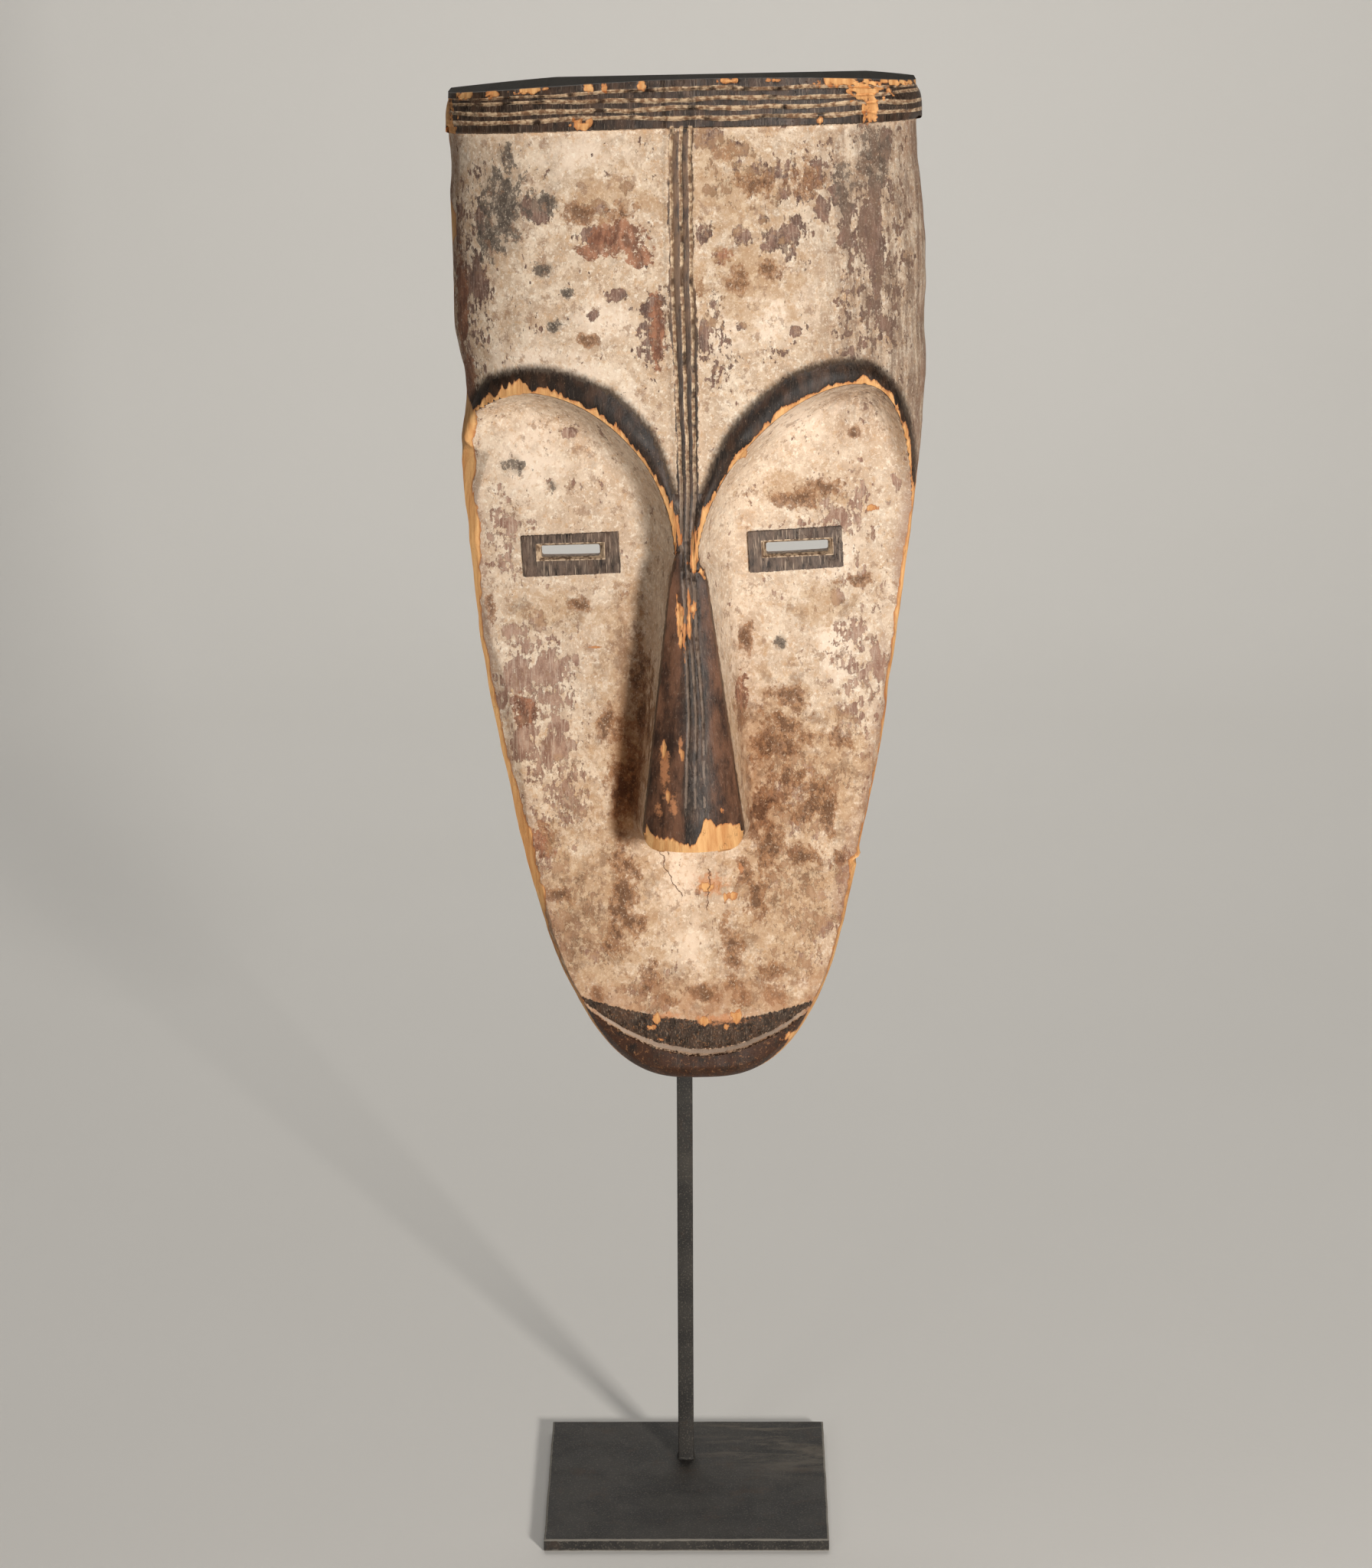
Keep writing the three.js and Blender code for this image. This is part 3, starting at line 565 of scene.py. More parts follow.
def face_depth(u, w):
    across = (u - middle(w)) / np.maximum(NARROWEST_FACE, half_width(w))
    fall = mix(sided(JAW_FALL, across), sided(EYE_FALL, across), smooth(w, *JAW_TO_EYES))
    fall = fall * np.minimum(1, np.abs(across)) ** FACE_FALL_POWER
    return face_middle_depth(w) - fall - mouth_notch(u, w)


# Grooves and chips


def droop(q, level):
    """How far the headband lies below its level at the middle, q being the share of the half width.

    Its top edge drops more than the rest, so it is narrower at its ends.
    """
    band = sided(BAND_DROOP, q) * q * q * smooth(level, *DROOP_RANGE)
    top = sided(TOP_DROOP, q) * np.abs(q) ** sided(TOP_DROOP_POWER, q)
    return band + top * smooth(level, *TOP_DROOP_RANGE)


def band_level(u, w):
    """w before the headband's droop towards its ends."""
    q = np.clip((u - middle(w)) / half_width(w), -1, 1)
    level = w
    for _ in range(LEVEL_ROUNDS):
        level = w + droop(q, level)
    return level


def band_lines(u, level):
    """Distance inside the nearest groove of the headband. The carver's hand wavers along them."""
    inside = np.full(len(u), FAR_OUT)
    for k, centre in enumerate(BAND_GROOVES):
        wave = 0.8 * rough(u / 28, 0 * u + 7 * k, 31 + k, 2) + 0.12 * wobble(u / 7, 0 * u, 41 + k)
        half = BAND_GROOVE_HALF * (1 + 0.25 * wobble(u / 12, 0 * u, 45 + k))
        inside = np.maximum(inside, half - np.abs(level - centre - wave))
    return inside


def crest_offset(u, w):
    """Distance from the crest's middle line, and the pitch of its grooves there."""
    wave = 0.35 * rough(w / 24, 0 * w, 51)
    return u - np.interp(w, CREST_W, CREST_U) - wave, np.interp(w, CREST_W, CREST_PITCH)


def crest_lines(u, w):
    """Distance inside the nearest of the crest's three grooves."""
    offset, pitch = crest_offset(u, w)
    nearest = np.abs(offset - pitch * np.clip(np.round(offset / pitch), -1, 1))
    ends = np.minimum(w - CREST_FOOT, BAND_GROOVES[-1] - CREST_HEAD_GAP - w)
    return np.minimum(CREST_GROOVE_HALF - nearest, ends)


# How wide the black band is along each brow, and how far chips eat into it from its lower edge:
# (place along it, where 0 is its outer end and 1 the bridge, and the width)
BAND_WIDTH = {
    -1: [(0, 2), (0.33, 6), (0.4, 14), (0.67, 18), (0.76, 16), (0.85, 9.5), (1, 4.5), (1.05, 0)],
    1: [
        (0, 1.5), (0.21, 5), (0.37, 8), (0.47, 14), (0.62, 18), (0.75, 15), (0.83, 9.5), (1, 4.5),
        (1.05, 0),
    ],
}
CHIP_WIDTH = {
    -1: [
        (0.33, 1), (0.4, 4), (0.44, 7), (0.49, 10), (0.505, 3), (0.55, 4.5), (0.6, 2), (0.62, 4.5),
        (0.69, 4.5), (0.72, 2), (0.84, 1.8), (0.87, 4), (0.97, 4.5), (1.0, 1), (1.05, -3),
    ],
    1: [
        (0, 0.3), (0.2, 2.5), (0.35, 2.8), (0.47, 3.6), (0.5, 1.4), (0.56, 2), (0.68, 4.4), (0.72, 1),
        (0.77, 2.5), (0.86, 3), (0.9, 4), (0.98, 3.6), (1.03, 2), (1.05, -4),
    ],
}

# Bare patches: (u, w, half width, half height)
BARE_SPOTS = [
    (-3.2, 299, 2.2, 13), (-0.4, 290, 0.9, 15), (2.6, 299, 1.2, 15), (5.4, 307, 1.4, 6),
    (2.5, 334, 1.6, 1.2), (-57, 276, 6.5, 1), (115, 358, 3.5, 2), (9, 127, 6, 2.5), (24, 121, 4, 2.5),
    (31, 139, 1.5, 2.5), (-14, 222, 1.3, 6), (-12, 196, 1.2, 5), (-22, 45, 2.5, 4), (6, 42, 4, 3),
    (26, 45, 3.5, 4), (20, 38, 2, 2), (-26, 38, 3, 1.5), (-22, 30, 2.5, 1.5), (62, 30, 6, 3),
    (36, 398, 4, 3), (20, 186, 2, 3), (-3, 221, 1.5, 3),
]
BAND_SPOTS = [
    (112, 614, 9.5, 8), (117, 604, 5.5, 9), (98, 620.5, 12, 3), (132, 620, 15, 3), (127, 614, 2.5, 3.5),
    (86, 597, 1.6, 2), (-126, 621, 4.5, 3.4), (-108, 621, 3.5, 3), (-88, 621, 8, 3.2),
    (-50, 621.5, 3.6, 3.6), (-41, 622, 1.8, 3.6), (-19, 622, 2.2, 3.8), (33, 621, 6, 1.2),
    (60, 621, 4, 1), (-56, 597.5, 7, 3.6), (-139, 604, 6, 13),
]

# How far bare wood reaches up the nose's tip
NOSE_TIP_BARE = (
    (-32, -27, -22, -16, -8, -2, 3, 7, 9, 14, 17, 22, 28, 34),
    (22, 19, 9, 8, 9, 6, 5, 11, 20, 20, 14, 17, 14, 15),
)

# How wide the bare strip along the mask's left and right edges is: (w, left, right)
BARE_STRIP = [
    (40, 2.5, 3), (55, 2.8, 3), (74, 1.7, 2.4), (85, 3.2, 2.4), (99, 1.4, 2.6), (109, 2.2, 3.1),
    (120, 5, 3.3), (127, 7.8, 3.4), (143, 5.4, 2.4), (155, 6.4, 1), (167, 5.8, 1), (190, 3.8, 1),
    (215, 3.5, 1.2), (300, 3.5, 2.8), (330, 5, 3), (345, 7.5, 2), (420, 8, -1), (432, 0.6, -5),
    (522, 0.4, -5), (528, 4.5, -5), (546, 4, -5), (551, 0.4, -5),
]


def spots(places, u, w, seed, jag):
    """About how far inside the nearest of some ragged patches a point is, in millimetres."""
    inside = np.full(len(u), FAR_OUT)
    ragged = jag * (0.6 * rough(u / 2.6, w / 7, seed) + 0.6 * rough(u / 1.3, w / 2.4, seed + 9))
    for at_u, at_w, half_u, half_w in places:
        reach = np.hypot((u - at_u) / half_u, (w - at_w) / half_w)
        inside = np.maximum(inside, (1 - reach + ragged) * min(half_u, half_w))
    return inside


def along_brow(widths, carved):
    by_side = {side: np.interp(carved.along, *zip(*widths[side])) for side in (-1, 1)}
    return np.where(carved.right, by_side[1], by_side[-1])


def bareness(u, w, level, edge, carved):
    """Distance inside bare wood, in millimetres: worn edges, chips and the rubbed tip of the nose."""
    at, left, right = zip(*BARE_STRIP)
    strip = np.where(u < middle(w), np.interp(w, at, left), np.interp(w, at, right))
    strip = strip * (1 + 0.3 * rough(w / 13, u / 40, 61)) + 0.5 * wobble(w / 3, u / 9, 62) - edge
    out = -carved.depth
    streaks = 0.5 + 0.5 * rough(u / 1.7, w / 26, 63) + 0.25 * wobble(u / 5, w / 9, 64)
    chips = along_brow(CHIP_WIDTH, carved) * (0.2 + 1.25 * streaks) - out
    arris = np.where(out > -ARRIS_CHIPS, chips, FAR_OUT)
    tip = NOSE_TIP_W + np.interp(u, *NOSE_TIP_BARE) + 1.6 * rough(u / 1.6, w / 30, 65) - w
    tip = np.where(on_nose(u, w), tip, FAR_OUT)
    chin = np.where(level < BARE_CHIN, 1.1 + 1.6 * rough(u / 8, w / 8, 66) - edge, FAR_OUT)
    patches = [spots(BARE_SPOTS, u, w, 67, 0.7), spots(BAND_SPOTS, u, level, 68, 0.95)]
    return np.max([strip, arris, tip, chin, *patches], axis=0)


def crest_relief(u, w):
    """The ridge, which runs out at the bridge, and the grooves in it."""
    offset, pitch = crest_offset(u, w)
    low, high = (1.5 * pitch + reach for reach in RIDGE_FLANK)
    ridge = RIDGE_PROUD * (1 - smooth(np.abs(offset), low, high)) * smooth(w, *RIDGE_RISES)
    grooves = smooth(crest_lines(u, w), 0, CREST_GROOVE_HALF)
    return ridge - CREST_GROOVE_DEPTH * grooves * smooth(w, *CREST_GROOVES_DEEPEN)


def band_relief(u, level):
    share = band_share(level)
    grooves = smooth(band_lines(u, level), 0, BAND_GROOVE_HALF)
    return (BAND_PROUD * share - BAND_GROOVE_DEPTH * grooves) * share


def front_depth(u, w, level, edge, carved, kept):
    """Depth of the whole front surface. kept marks points on a brow's or the nose's edge."""
    block = block_depth(w, edge)
    roof_share = 1 - smooth(w, *BRIDGE_BLEND)
    upper = mix(block, np.maximum(nose_roof(u, w), face_depth(u, w)), roof_share) + crest_relief(u, w)
    width = np.maximum(BROW_NARROWEST, along_brow(BAND_WIDTH, carved))
    roll = BROW_PROUD * (carved.along < 1) * (1 - smooth(-carved.depth, width * BROW_FLAT_SHARE, width))
    chipped = CHIP_DEPTH * smooth(bareness(u, w, level, edge, carved), 0, CHIP_SLOPE)
    face = np.minimum(np.minimum(face_depth(u, w), block), rim_depth(u, w, edge))
    wall = (1 - np.clip(carved.depth / carved.cove, 0, 1)) ** COVE_POWER
    outside = upper + roll + band_relief(u, level) - chipped
    inside = mix(face, upper + roll - chipped, wall)
    hand = 0.45 * rough(u / 26, w / 34, 71) + 0.22 * wobble(u / 7, w / 13, 72)
    return np.where(kept | (carved.depth <= 0), outside, inside) + hand * smooth(edge, 0, HAND_FROM_EDGE)


# Meshes


class Shell:
    """Vertices in the mask's frame, and faces, for one closed body."""

    def __init__(self):
        self.points = []
        self.faces = []
        self.count = 0

    def add(self, points):
        points = np.asarray(points, float).reshape(-1, 3)
        self.points.append(points)
        self.count += len(points)
        return np.arange(self.count - len(points), self.count)

    def grid(self, rows):
        """Two triangles for each place between rows of vertex numbers.

        They are cut along the diagonal that crosses the smaller step in depth.
        """
        where = np.concatenate(self.points)
        a, b = rows[:-1, :-1].ravel(), rows[:-1, 1:].ravel()
        c, d = rows[1:, 1:].ravel(), rows[1:, :-1].ravel()
        flip = np.abs(where[a, 2] - where[c, 2]) > np.abs(where[b, 2] - where[d, 2])
        one = np.where(flip[:, None], np.stack([b, c, d], 1), np.stack([a, b, c], 1))
        two = np.where(flip[:, None], np.stack([b, d, a], 1), np.stack([a, c, d], 1))
        self.faces += one.tolist() + two.tolist()

    def mesh(self, name):
        where = np.concatenate(self.points)
        mesh = bpy.data.meshes.new(name)
        mesh.from_pydata(to_row_frame(where).tolist(), [], self.faces)
        mesh.update()
        return mesh


def mask_matrix():
    lean = Matrix.Rotation(-MASK_LEAN, 3, "X")
    roll = Matrix.Rotation(-MASK_ROLL, 3, "Y")
    return np.array(roll @ lean)


MASK_TURN = mask_matrix()


def to_row_frame(points):
    """From (u, w, p) in millimetres to the row frame in metres."""
    local = np.stack([points[:, 0], -points[:, 2], points[:, 1]], axis=1)
    return (local @ MASK_TURN.T + np.array(MASK_ORIGIN)) * MM


def to_mask_frame(points):
    local = (points / MM - np.array(MASK_ORIGIN)) @ MASK_TURN
    return local[:, 0], local[:, 2], -local[:, 1]


def closed_body(name, front, back, chips=None):
    """A body with a grid of front points, stepped walls behind its edge and one flat back face.

    chips says how far small chips move the front points, which fade out soon behind the edge.
    """
    rows, columns, _ = front.shape
    shell = Shell()
    grid = shell.add(front).reshape(rows, columns)
    shell.grid(grid)
    loop = [(0, i) for i in range(columns)] + [(j, columns - 1) for j in range(1, rows)]
    loop += [(rows - 1, i) for i in range(columns - 2, -1, -1)] + [(j, 0) for j in range(rows - 2, 0, -1)]
    at = tuple(np.array(loop).T)
    chipped = 0 if chips is None else chips[at]
    rings = [grid[at]]
    for share in np.arange(1, WALL_STEPS + 1) / WALL_STEPS:
        rings.append(shell.add(mix(front[at], back[at], share) + chipped * min(1, CHIP_FADE * share)))
    wall = np.array([np.append(ring, ring[0]) for ring in rings])
    shell.grid(wall[::-1])
    shell.faces.append(rings[-1][::-1].tolist())
    return shell.mesh(name)


def column_shares(count):
    t = np.linspace(-1, 1, count + 1)
    return t - COLUMN_CROWDING * np.sin(2 * math.pi * t) / (2 * math.pi)


def above_chin(q, level):
    """The height of a grid point. The chin's curve lifts it above its level at the middle."""
    return level + outline_height(np.abs(q) * half_width(JAW_W)) * (1 - smooth(level, 0, HEIGHT / 2))


def place(q, level):
    """Where a grid point of the front lies.

    q is its share of the half width, level its height at the middle.
    """
    w = above_chin(q, level)
    reach = np.maximum(half_width(JAW_W), outline_half(np.sign(q), w))
    return middle(w) + q * reach, w - droop(q, level)


def settle(u, w):
    """Moves points that lie close to an edge of the carving onto it, so that the edge stays crisp.

    Returns which of them are on the brows' and the nose's edges.
    """
    step_u, step_w = np.gradient(u, axis=1), np.gradient(w, axis=0)
    kept = np.zeros(u.shape, bool)
    inner = np.zeros(u.shape, bool)
    inner[1:-1, 1:-1] = True
    right = u >= nose_middle(w)
    us = np.linspace(*MOUTH_SPAN)
    lines = [(BROW_LINES[side][0], side) for side in (-1, 1)]
    lines += [(Line(us, w_at), 0) for w_at in (lip_line(us), mouth_line(us), lip_line(us) - LEDGE_HEIGHT)]
    for line, side in lines:
        here = (right == (side > 0)) & (w > BROWS_FROM) if side else w < MOUTH_UP_TO
        j, i = np.nonzero(inner & ~kept & here)
        to_u, to_w = line.at(line.nearest(u[j, i], w[j, i])[1])
        gap = np.hypot((to_u - u[j, i]) / step_u[j, i], (to_w - w[j, i]) / step_w[j, i])
        near = (gap < SNAP_SHARE) & (edge_distance(to_u, to_w) > SNAP_FROM_EDGE)
        j, i = j[near], i[near]
        u[j, i], w[j, i] = to_u[near], to_w[near]
        kept[j, i] = side != 0
    return kept


def mask_body():
    q, level = np.meshgrid(column_shares(FRONT_COLUMNS), levels(FRONT_ROWS))
    u, w = place(q, level)
    behind_w = w.copy()
    behind_w[-1] = np.minimum(w[-1], HEIGHT - TOP_CHAMFER)
    behind = np.stack([u, behind_w, 0 * u], axis=-1)
    chips = np.stack([dips(CHIPS_RIGHT, w) * (u > middle(w)), 0 * u, 0 * u], axis=-1)
    kept = settle(u, w)
    flat = u.ravel(), w.ravel()
    edge, carved = edge_distance(*flat), Carved(*flat)
    p = front_depth(*flat, level.ravel(), edge, carved, kept.ravel()).reshape(u.shape)
    p[:, 0], p[:, -1], p[0] = side_depth(w[:, 0]), side_depth(w[:, -1]), side_depth(w[0])
    return closed_body("mask_block", np.stack([u, w, p], axis=-1), behind, chips)


def hollow_depth(u, w, edge):
    floor = mix(face_middle_depth(w) - FRONT_WALL, crown_depth(w) - FOREHEAD_WALL, smooth(w, *HOLLOW_STEP))
    t = np.clip(1 - edge / HOLLOW_ROUNDING, 0, 1)
    gouges = 0.9 * np.abs(wobble(u / 11, w / 37, 81)) + 0.35 * rough(u / 5, w / 17, 82)
    depth = mix(HOLLOW_RIM_DEPTH, floor, np.sqrt(1 - t**HOLLOW_POWER))
    return depth - gouges * smooth(edge, 0, HAND_FROM_EDGE)


def hollow_body():
    q, level = np.meshgrid(column_shares(HOLLOW_COLUMNS), levels(HOLLOW_ROWS))
    shrink = (HALF_WIDTH - SIDE_WALL) / HALF_WIDTH
    w = above_chin(q, level)
    u = middle(w) + q * np.maximum(shrink * half_width(JAW_W), shrink * half_width(w - CHIN_WALL))
    rim = Line(*(np.concatenate([x[::-1, 0], x[0], x[:, -1]]) for x in (u, w)))
    edge = rim.nearest(u.ravel(), w.ravel())[0]
    p = hollow_depth(u.ravel(), w.ravel(), edge).reshape(u.shape)
    front, back = (np.stack([u, w, depth], axis=-1) for depth in (p, 0 * u - BACK_CLEARANCE))
    return closed_body("mask_hollow", front, back)


def depth_at(u, w):
    u, w = np.array([float(u)]), np.array([float(w)])
    return front_depth(u, w, w, edge_distance(u, w), Carved(u, w), np.zeros(1, bool))[0]


def block_cutter(name, size, flare, corner, centre, tilt, slopes):
    """A block that looks forward, laid on the sloping cheek.

    flare says how far its front is wider and higher on each side, corner how round its corners are.
    """
    width, height, depth = size
    quarter = np.linspace(0, math.pi / 2, CORNER_STEPS)
    x, y = [], []
    for k, (right, up) in enumerate([(1, 1), (-1, 1), (-1, -1), (1, -1)]):
        for angle in quarter[:: 1 - k % 2 * 2]:
            x.append(right * (width / 2 - corner + corner * math.cos(angle)))
            y.append(up * (height / 2 - corner + corner * math.sin(angle)))
    x, y = np.array(x), np.array(y)
    turn = math.radians(tilt)
    shell = Shell()
    ends = []
    for front in (0, 1):
        wide, high = x + front * np.copysign(flare[0], x), y + front * np.copysign(flare[1], y)
        across = wide * math.cos(turn) - high * math.sin(turn)
        above = wide * math.sin(turn) + high * math.cos(turn)
        forward = (front - 0.5) * depth + across * slopes[0] + above * slopes[1]
        ends.append(shell.add(np.stack([across, above, forward], axis=1) + np.array(centre)))
    back, front = ends
    shell.faces += np.stack([back, np.roll(back, -1), np.roll(front, -1), front], axis=1).tolist()
    shell.faces += [front.tolist(), back[::-1].tolist()]
    return shell.mesh(name)


def eye_parts(eye):
    """An eye's raised frame, its slot, and the bevel at the slot's mouth."""
    u, w, reach = eye["u"], eye["w"], EYE_SLOPE_REACH
    slopes = (
        (depth_at(u + reach, w) - depth_at(u - reach, w)) / (2 * reach),
        (depth_at(u, w + reach) - depth_at(u, w - reach)) / (2 * reach),
    )
    surface = depth_at(u, w)
    proud = surface + EYE_FRAME_PROUD
    frame_at = (u, w, proud - EYE_FRAME_DEPTH / 2)
    frame_size = (eye["width"], eye["height"], EYE_FRAME_DEPTH)
    slot_at = (eye["slot_u"], eye["slot_w"], surface)
    slot_size = (eye["slot"], SLOT_HEIGHT, SLOT_DEPTH)
    bevel = (2 * SLOT_BEVEL[0], 2 * SLOT_BEVEL[1])
    bevel_at = (eye["slot_u"], eye["slot_w"], proud)
    bevel_size = (eye["slot"], SLOT_HEIGHT, 2 * SLOT_BEVEL_DEPTH)
    parts = (
        ("eye_frame", frame_size, (0, 0), EYE_FRAME_CORNER, frame_at, eye["tilt"]),
        ("eye_slot", slot_size, (0, 0), SLOT_CORNER, slot_at, eye["slot_tilt"]),
        ("eye_mouth", bevel_size, bevel, SLOT_BEVEL_CORNER, bevel_at, eye["slot_tilt"]),
    )
    return [block_cutter(*part, slopes) for part in parts]


def place_object(name, data):
    obj = bpy.data.objects.new(name, data)
    bpy.context.scene.collection.objects.link(obj)
    return obj


def combine(obj, other_mesh, operation):
    """Joins or cuts with another closed mesh, and applies the result."""
    other = place_object("tool", other_mesh)
    step = obj.modifiers.new("combine", "BOOLEAN")
    step.object = other
    step.operation = operation
    step.solver = "MANIFOLD"
    graph = bpy.context.evaluated_depsgraph_get()
    mesh = bpy.data.meshes.new_from_object(obj.evaluated_get(graph))
    obj.modifiers.clear()
    obj.data = mesh
    bpy.data.objects.remove(other)


def make_mask():
    obj = place_object("carved_mask", mask_body())
    eyes = [eye_parts(eye) for eye in EYES]
    for eye_frame, _, _ in eyes:
        combine(obj, eye_frame, "UNION")
    combine(obj, hollow_body(), "DIFFERENCE")
    for _, slot, bevel in eyes:
        combine(obj, slot, "DIFFERENCE")
        combine(obj, bevel, "DIFFERENCE")
    return obj


# Paint and wear at their places: (u, w, half width, half height)
PATCHES = {
    "grey": [
        (-104, 548, 13, 26), (-112, 530, 8, 16), (-78, 551, 9, 6), (-80, 512, 6, 5), (-75, 478, 5, 4),
        (118, 573, 10, 20), (-103, 388, 7, 6), (-79, 376, 4, 4), (58, 277, 4, 5), (-101, 579, 5, 7),
        (100, 556, 6, 16), (-66, 498, 4, 3),
    ],
    "red": [
        (-36, 530, 16, 12), (-52, 522, 9, 5), (-22, 518, 8, 7), (-13, 474, 4, 24), (-131, 488, 4, 30),
        (29, 579, 9, 5), (13, 501, 3, 7), (-90, 157, 8, 11), (33, 243, 4, 16), (-128, 440, 4, 20),
        (27, 518, 6, 5), (-100, 236, 7, 10),
    ],
    "purple": [
        (-46, 531, 12, 5), (-38, 496, 7, 4), (-51, 484, 3, 3), (-19, 487, 4, 5), (-30, 560, 5, 4),
        (21, 587, 11, 7), (39, 581, 9, 5), (30, 560, 5, 6), (20, 557, 4, 4), (16, 532, 5, 7),
        (39, 531, 6, 6), (63, 526, 12, 10), (86, 544, 5, 8), (96, 553, 5, 6), (103, 543, 4, 6),
        (101, 527, 6, 8), (72, 538, 3, 4), (51, 539, 3, 3), (112, 534, 5, 9), (85, 560, 3, 4),
        (118, 516, 6, 27), (119, 550, 5, 14), (125, 578, 4, 14), (-84, 547, 10, 8), (-120, 503, 6, 11),
        (69, 472, 4, 3), (-107, 353, 7, 6), (-69, 408, 5, 3), (-108, 287, 6, 5), (-90, 293, 5, 8),
        (-102, 259, 12, 12), (-85, 263, 12, 12), (-77, 228, 5, 4), (-103, 217, 7, 12), (-81, 214, 12, 9),
        (-76, 102, 11, 10), (-62, 89, 8, 10), (116, 269, 4, 7), (118, 255, 4, 9), (80, 103, 8, 11),
        (93, 303, 4, 5), (130, 373, 3, 6), (108, 388, 2, 1.5), (15, 470, 4, 16), (37, 476, 4, 3),
        (-48, 548, 8, 5),
    ],
    "brown": [
        (36, 504, 7, 9), (47, 561, 12, 9), (76, 560, 10, 12), (-58, 545, 12, 8), (104, 404, 8, 6),
        (70, 366, 16, 6), (48, 150, 10, 20), (34, 136, 8, 12), (-38, 138, 8, 14), (-36, 104, 9, 12),
        (56, 509, 9, 7), (86, 372, 12, 6), (-66, 302, 9, 5), (-45, 225, 11, 16), (-43, 185, 8, 20),
        (-42, 125, 10, 30), (-46, 96, 9, 14), (-80, 122, 9, 7), (-28, 72, 7, 12), (-120, 301, 4, 14),
        (62, 243, 14, 10), (54, 214, 22, 14), (60, 190, 18, 14), (80, 183, 12, 14), (42, 170, 8, 16),
        (69, 146, 14, 8), (40, 118, 7, 18), (24, 84, 8, 24), (48, 73, 8, 9), (70, 174, 13, 11),
        (106, 314, 12, 4), (-34, 546, 11, 6), (30, 58, 8, 8), (-54, 470, 7, 4), (-27, 245, 8, 40),
        (-34, 200, 6, 30), (36, 280, 5, 14), (-60, 60, 6, 8), (95, 215, 8, 8), (92, 140, 7, 7),
        (-14, 56, 6, 5), (58, 226, 16, 12), (6, 60, 12, 6), (52, 58, 8, 8), (86, 172, 8, 14),
    ],
    "white": [
        (-55, 579, 30, 15), (-90, 456, 30, 20), (56, 482, 30, 20), (-8, 135, 16, 34), (91, 275, 16, 30),
        (-93, 392, 24, 30), (70, 417, 30, 20), (0, 87, 11, 26), (-60, 450, 30, 20), (-30, 420, 16, 30),
        (90, 330, 20, 20), (30, 474, 22, 20), (-42, 480, 22, 18),
    ],
    "thin": [
        (-100, 262, 22, 40), (-94, 214, 18, 36), (-84, 150, 14, 30), (-66, 96, 14, 24), (92, 120, 14, 40),
        (72, 86, 12, 20), (-92, 250, 34, 60), (-80, 190, 26, 40), (-70, 105, 26, 36), (-112, 350, 12, 30),
        (66, 560, 46, 24), (22, 470, 12, 34), (118, 500, 26, 90), (-126, 500, 18, 90), (-16, 478, 12, 40),
        (66, 120, 30, 50), (104, 250, 18, 70), (96, 350, 30, 30), (-30, 60, 26, 16), (60, 180, 30, 40),
    ],
    "tan": [
        (-62, 110, 40, 74), (56, 116, 38, 84), (54, 214, 38, 44), (-40, 240, 18, 70), (28, 560, 34, 34),
        (40, 500, 34, 26), (-40, 556, 26, 14), (88, 190, 24, 40), (70, 372, 30, 12), (-84, 300, 24, 12),
        (84, 300, 20, 12), (10, 58, 60, 16),
    ],
    "orange": [
        (-57, 276, 6, 1.2), (115, 358, 3, 1.5), (12, 128, 13, 8), (31, 138, 2, 4), (17, 43, 22, 4),
        (-16, 46, 9, 3), (-14, 212, 3.5, 17), (-9, 190, 3, 7), (-4, 228, 1.5, 4), (-18, 186, 3, 5),
        (24, 172, 5, 4),
    ],
}

# How dusty the black of each part is
DUST = dict(brow=0.04, nose=0.18, ridge=0.22, band=0.26, mouth=0.34, chin=0.06, eye=0.88)

# Hair cracks: (u, w) where each begins and ends
CRACKS = [(-19, 155, -16, 140), (-16, 140, -6, 121), (12, 138, 10, 112), (-10, 160, -14, 147)]

# Where kinds of paint, wear and painted shade set in or run out, as (from, to) in millimetres
BRIDGE_BLACK = (335, 374)
BRIDGE_BLACK_HALF = 17
RIDGE_BLACK = (350, 594)
RIDGE_WEARS = (380, 430)
RIDGE_THINS = (470, 540)
RIDGE_FADES = (430, 530)
RIDGE_HEAD = (588, 594)
RIDGE_FOOT = (352, 405)
# Where the soot and painted shade beside the nose ends and thins
SOOT_AND_SHADE_ENDS = (270, 335)
SOOT_AND_SHADE_THINS = (190, 270)
NOSE_GROOVES_THIN = (240, 330)
NOSE_CREST_NARROWS = (200, 330)
SIDE_STRIP = 1.5
FACE_ENDS = (390, 440)
# The painted shade where the forehead turns away from the light on the viewer's right
PAINTED_SHADE_ACROSS = (60, 118)
PAINTED_SHADE_ABOVE = (380, 440)
BAND_FOOT = (588, 596)
BAND_GROOVES_WIDEN = (590, 596, 0.2)
MARBLED_BELOW = (330, 300)
WARM_BELOW = (260, 200)
BROWNISH_BELOW = (82, 48)
CHIN_SPECKS = (40, 62)
GRIMY_EDGE = (2, 15)
LEDGE_LINE = (1.1, 0.5)
LEDGE_ENDS = (68, 56)
CRACK_LINE = (0.1, 0.45)
RUBBED_X = (-12, 40)
RUBBED_Y = (-20, 50)


def closeness(places, u, w):
    """1 at the middle of the nearest of some patches, 0 at its edge and less outside it."""
    nearest = np.full(len(u), -2.0)
    for at_u, at_w, half_u, half_w in places:
        nearest = np.maximum(nearest, 1 - np.hypot((u - at_u) / half_u, (w - at_w) / half_w))
    return nearest


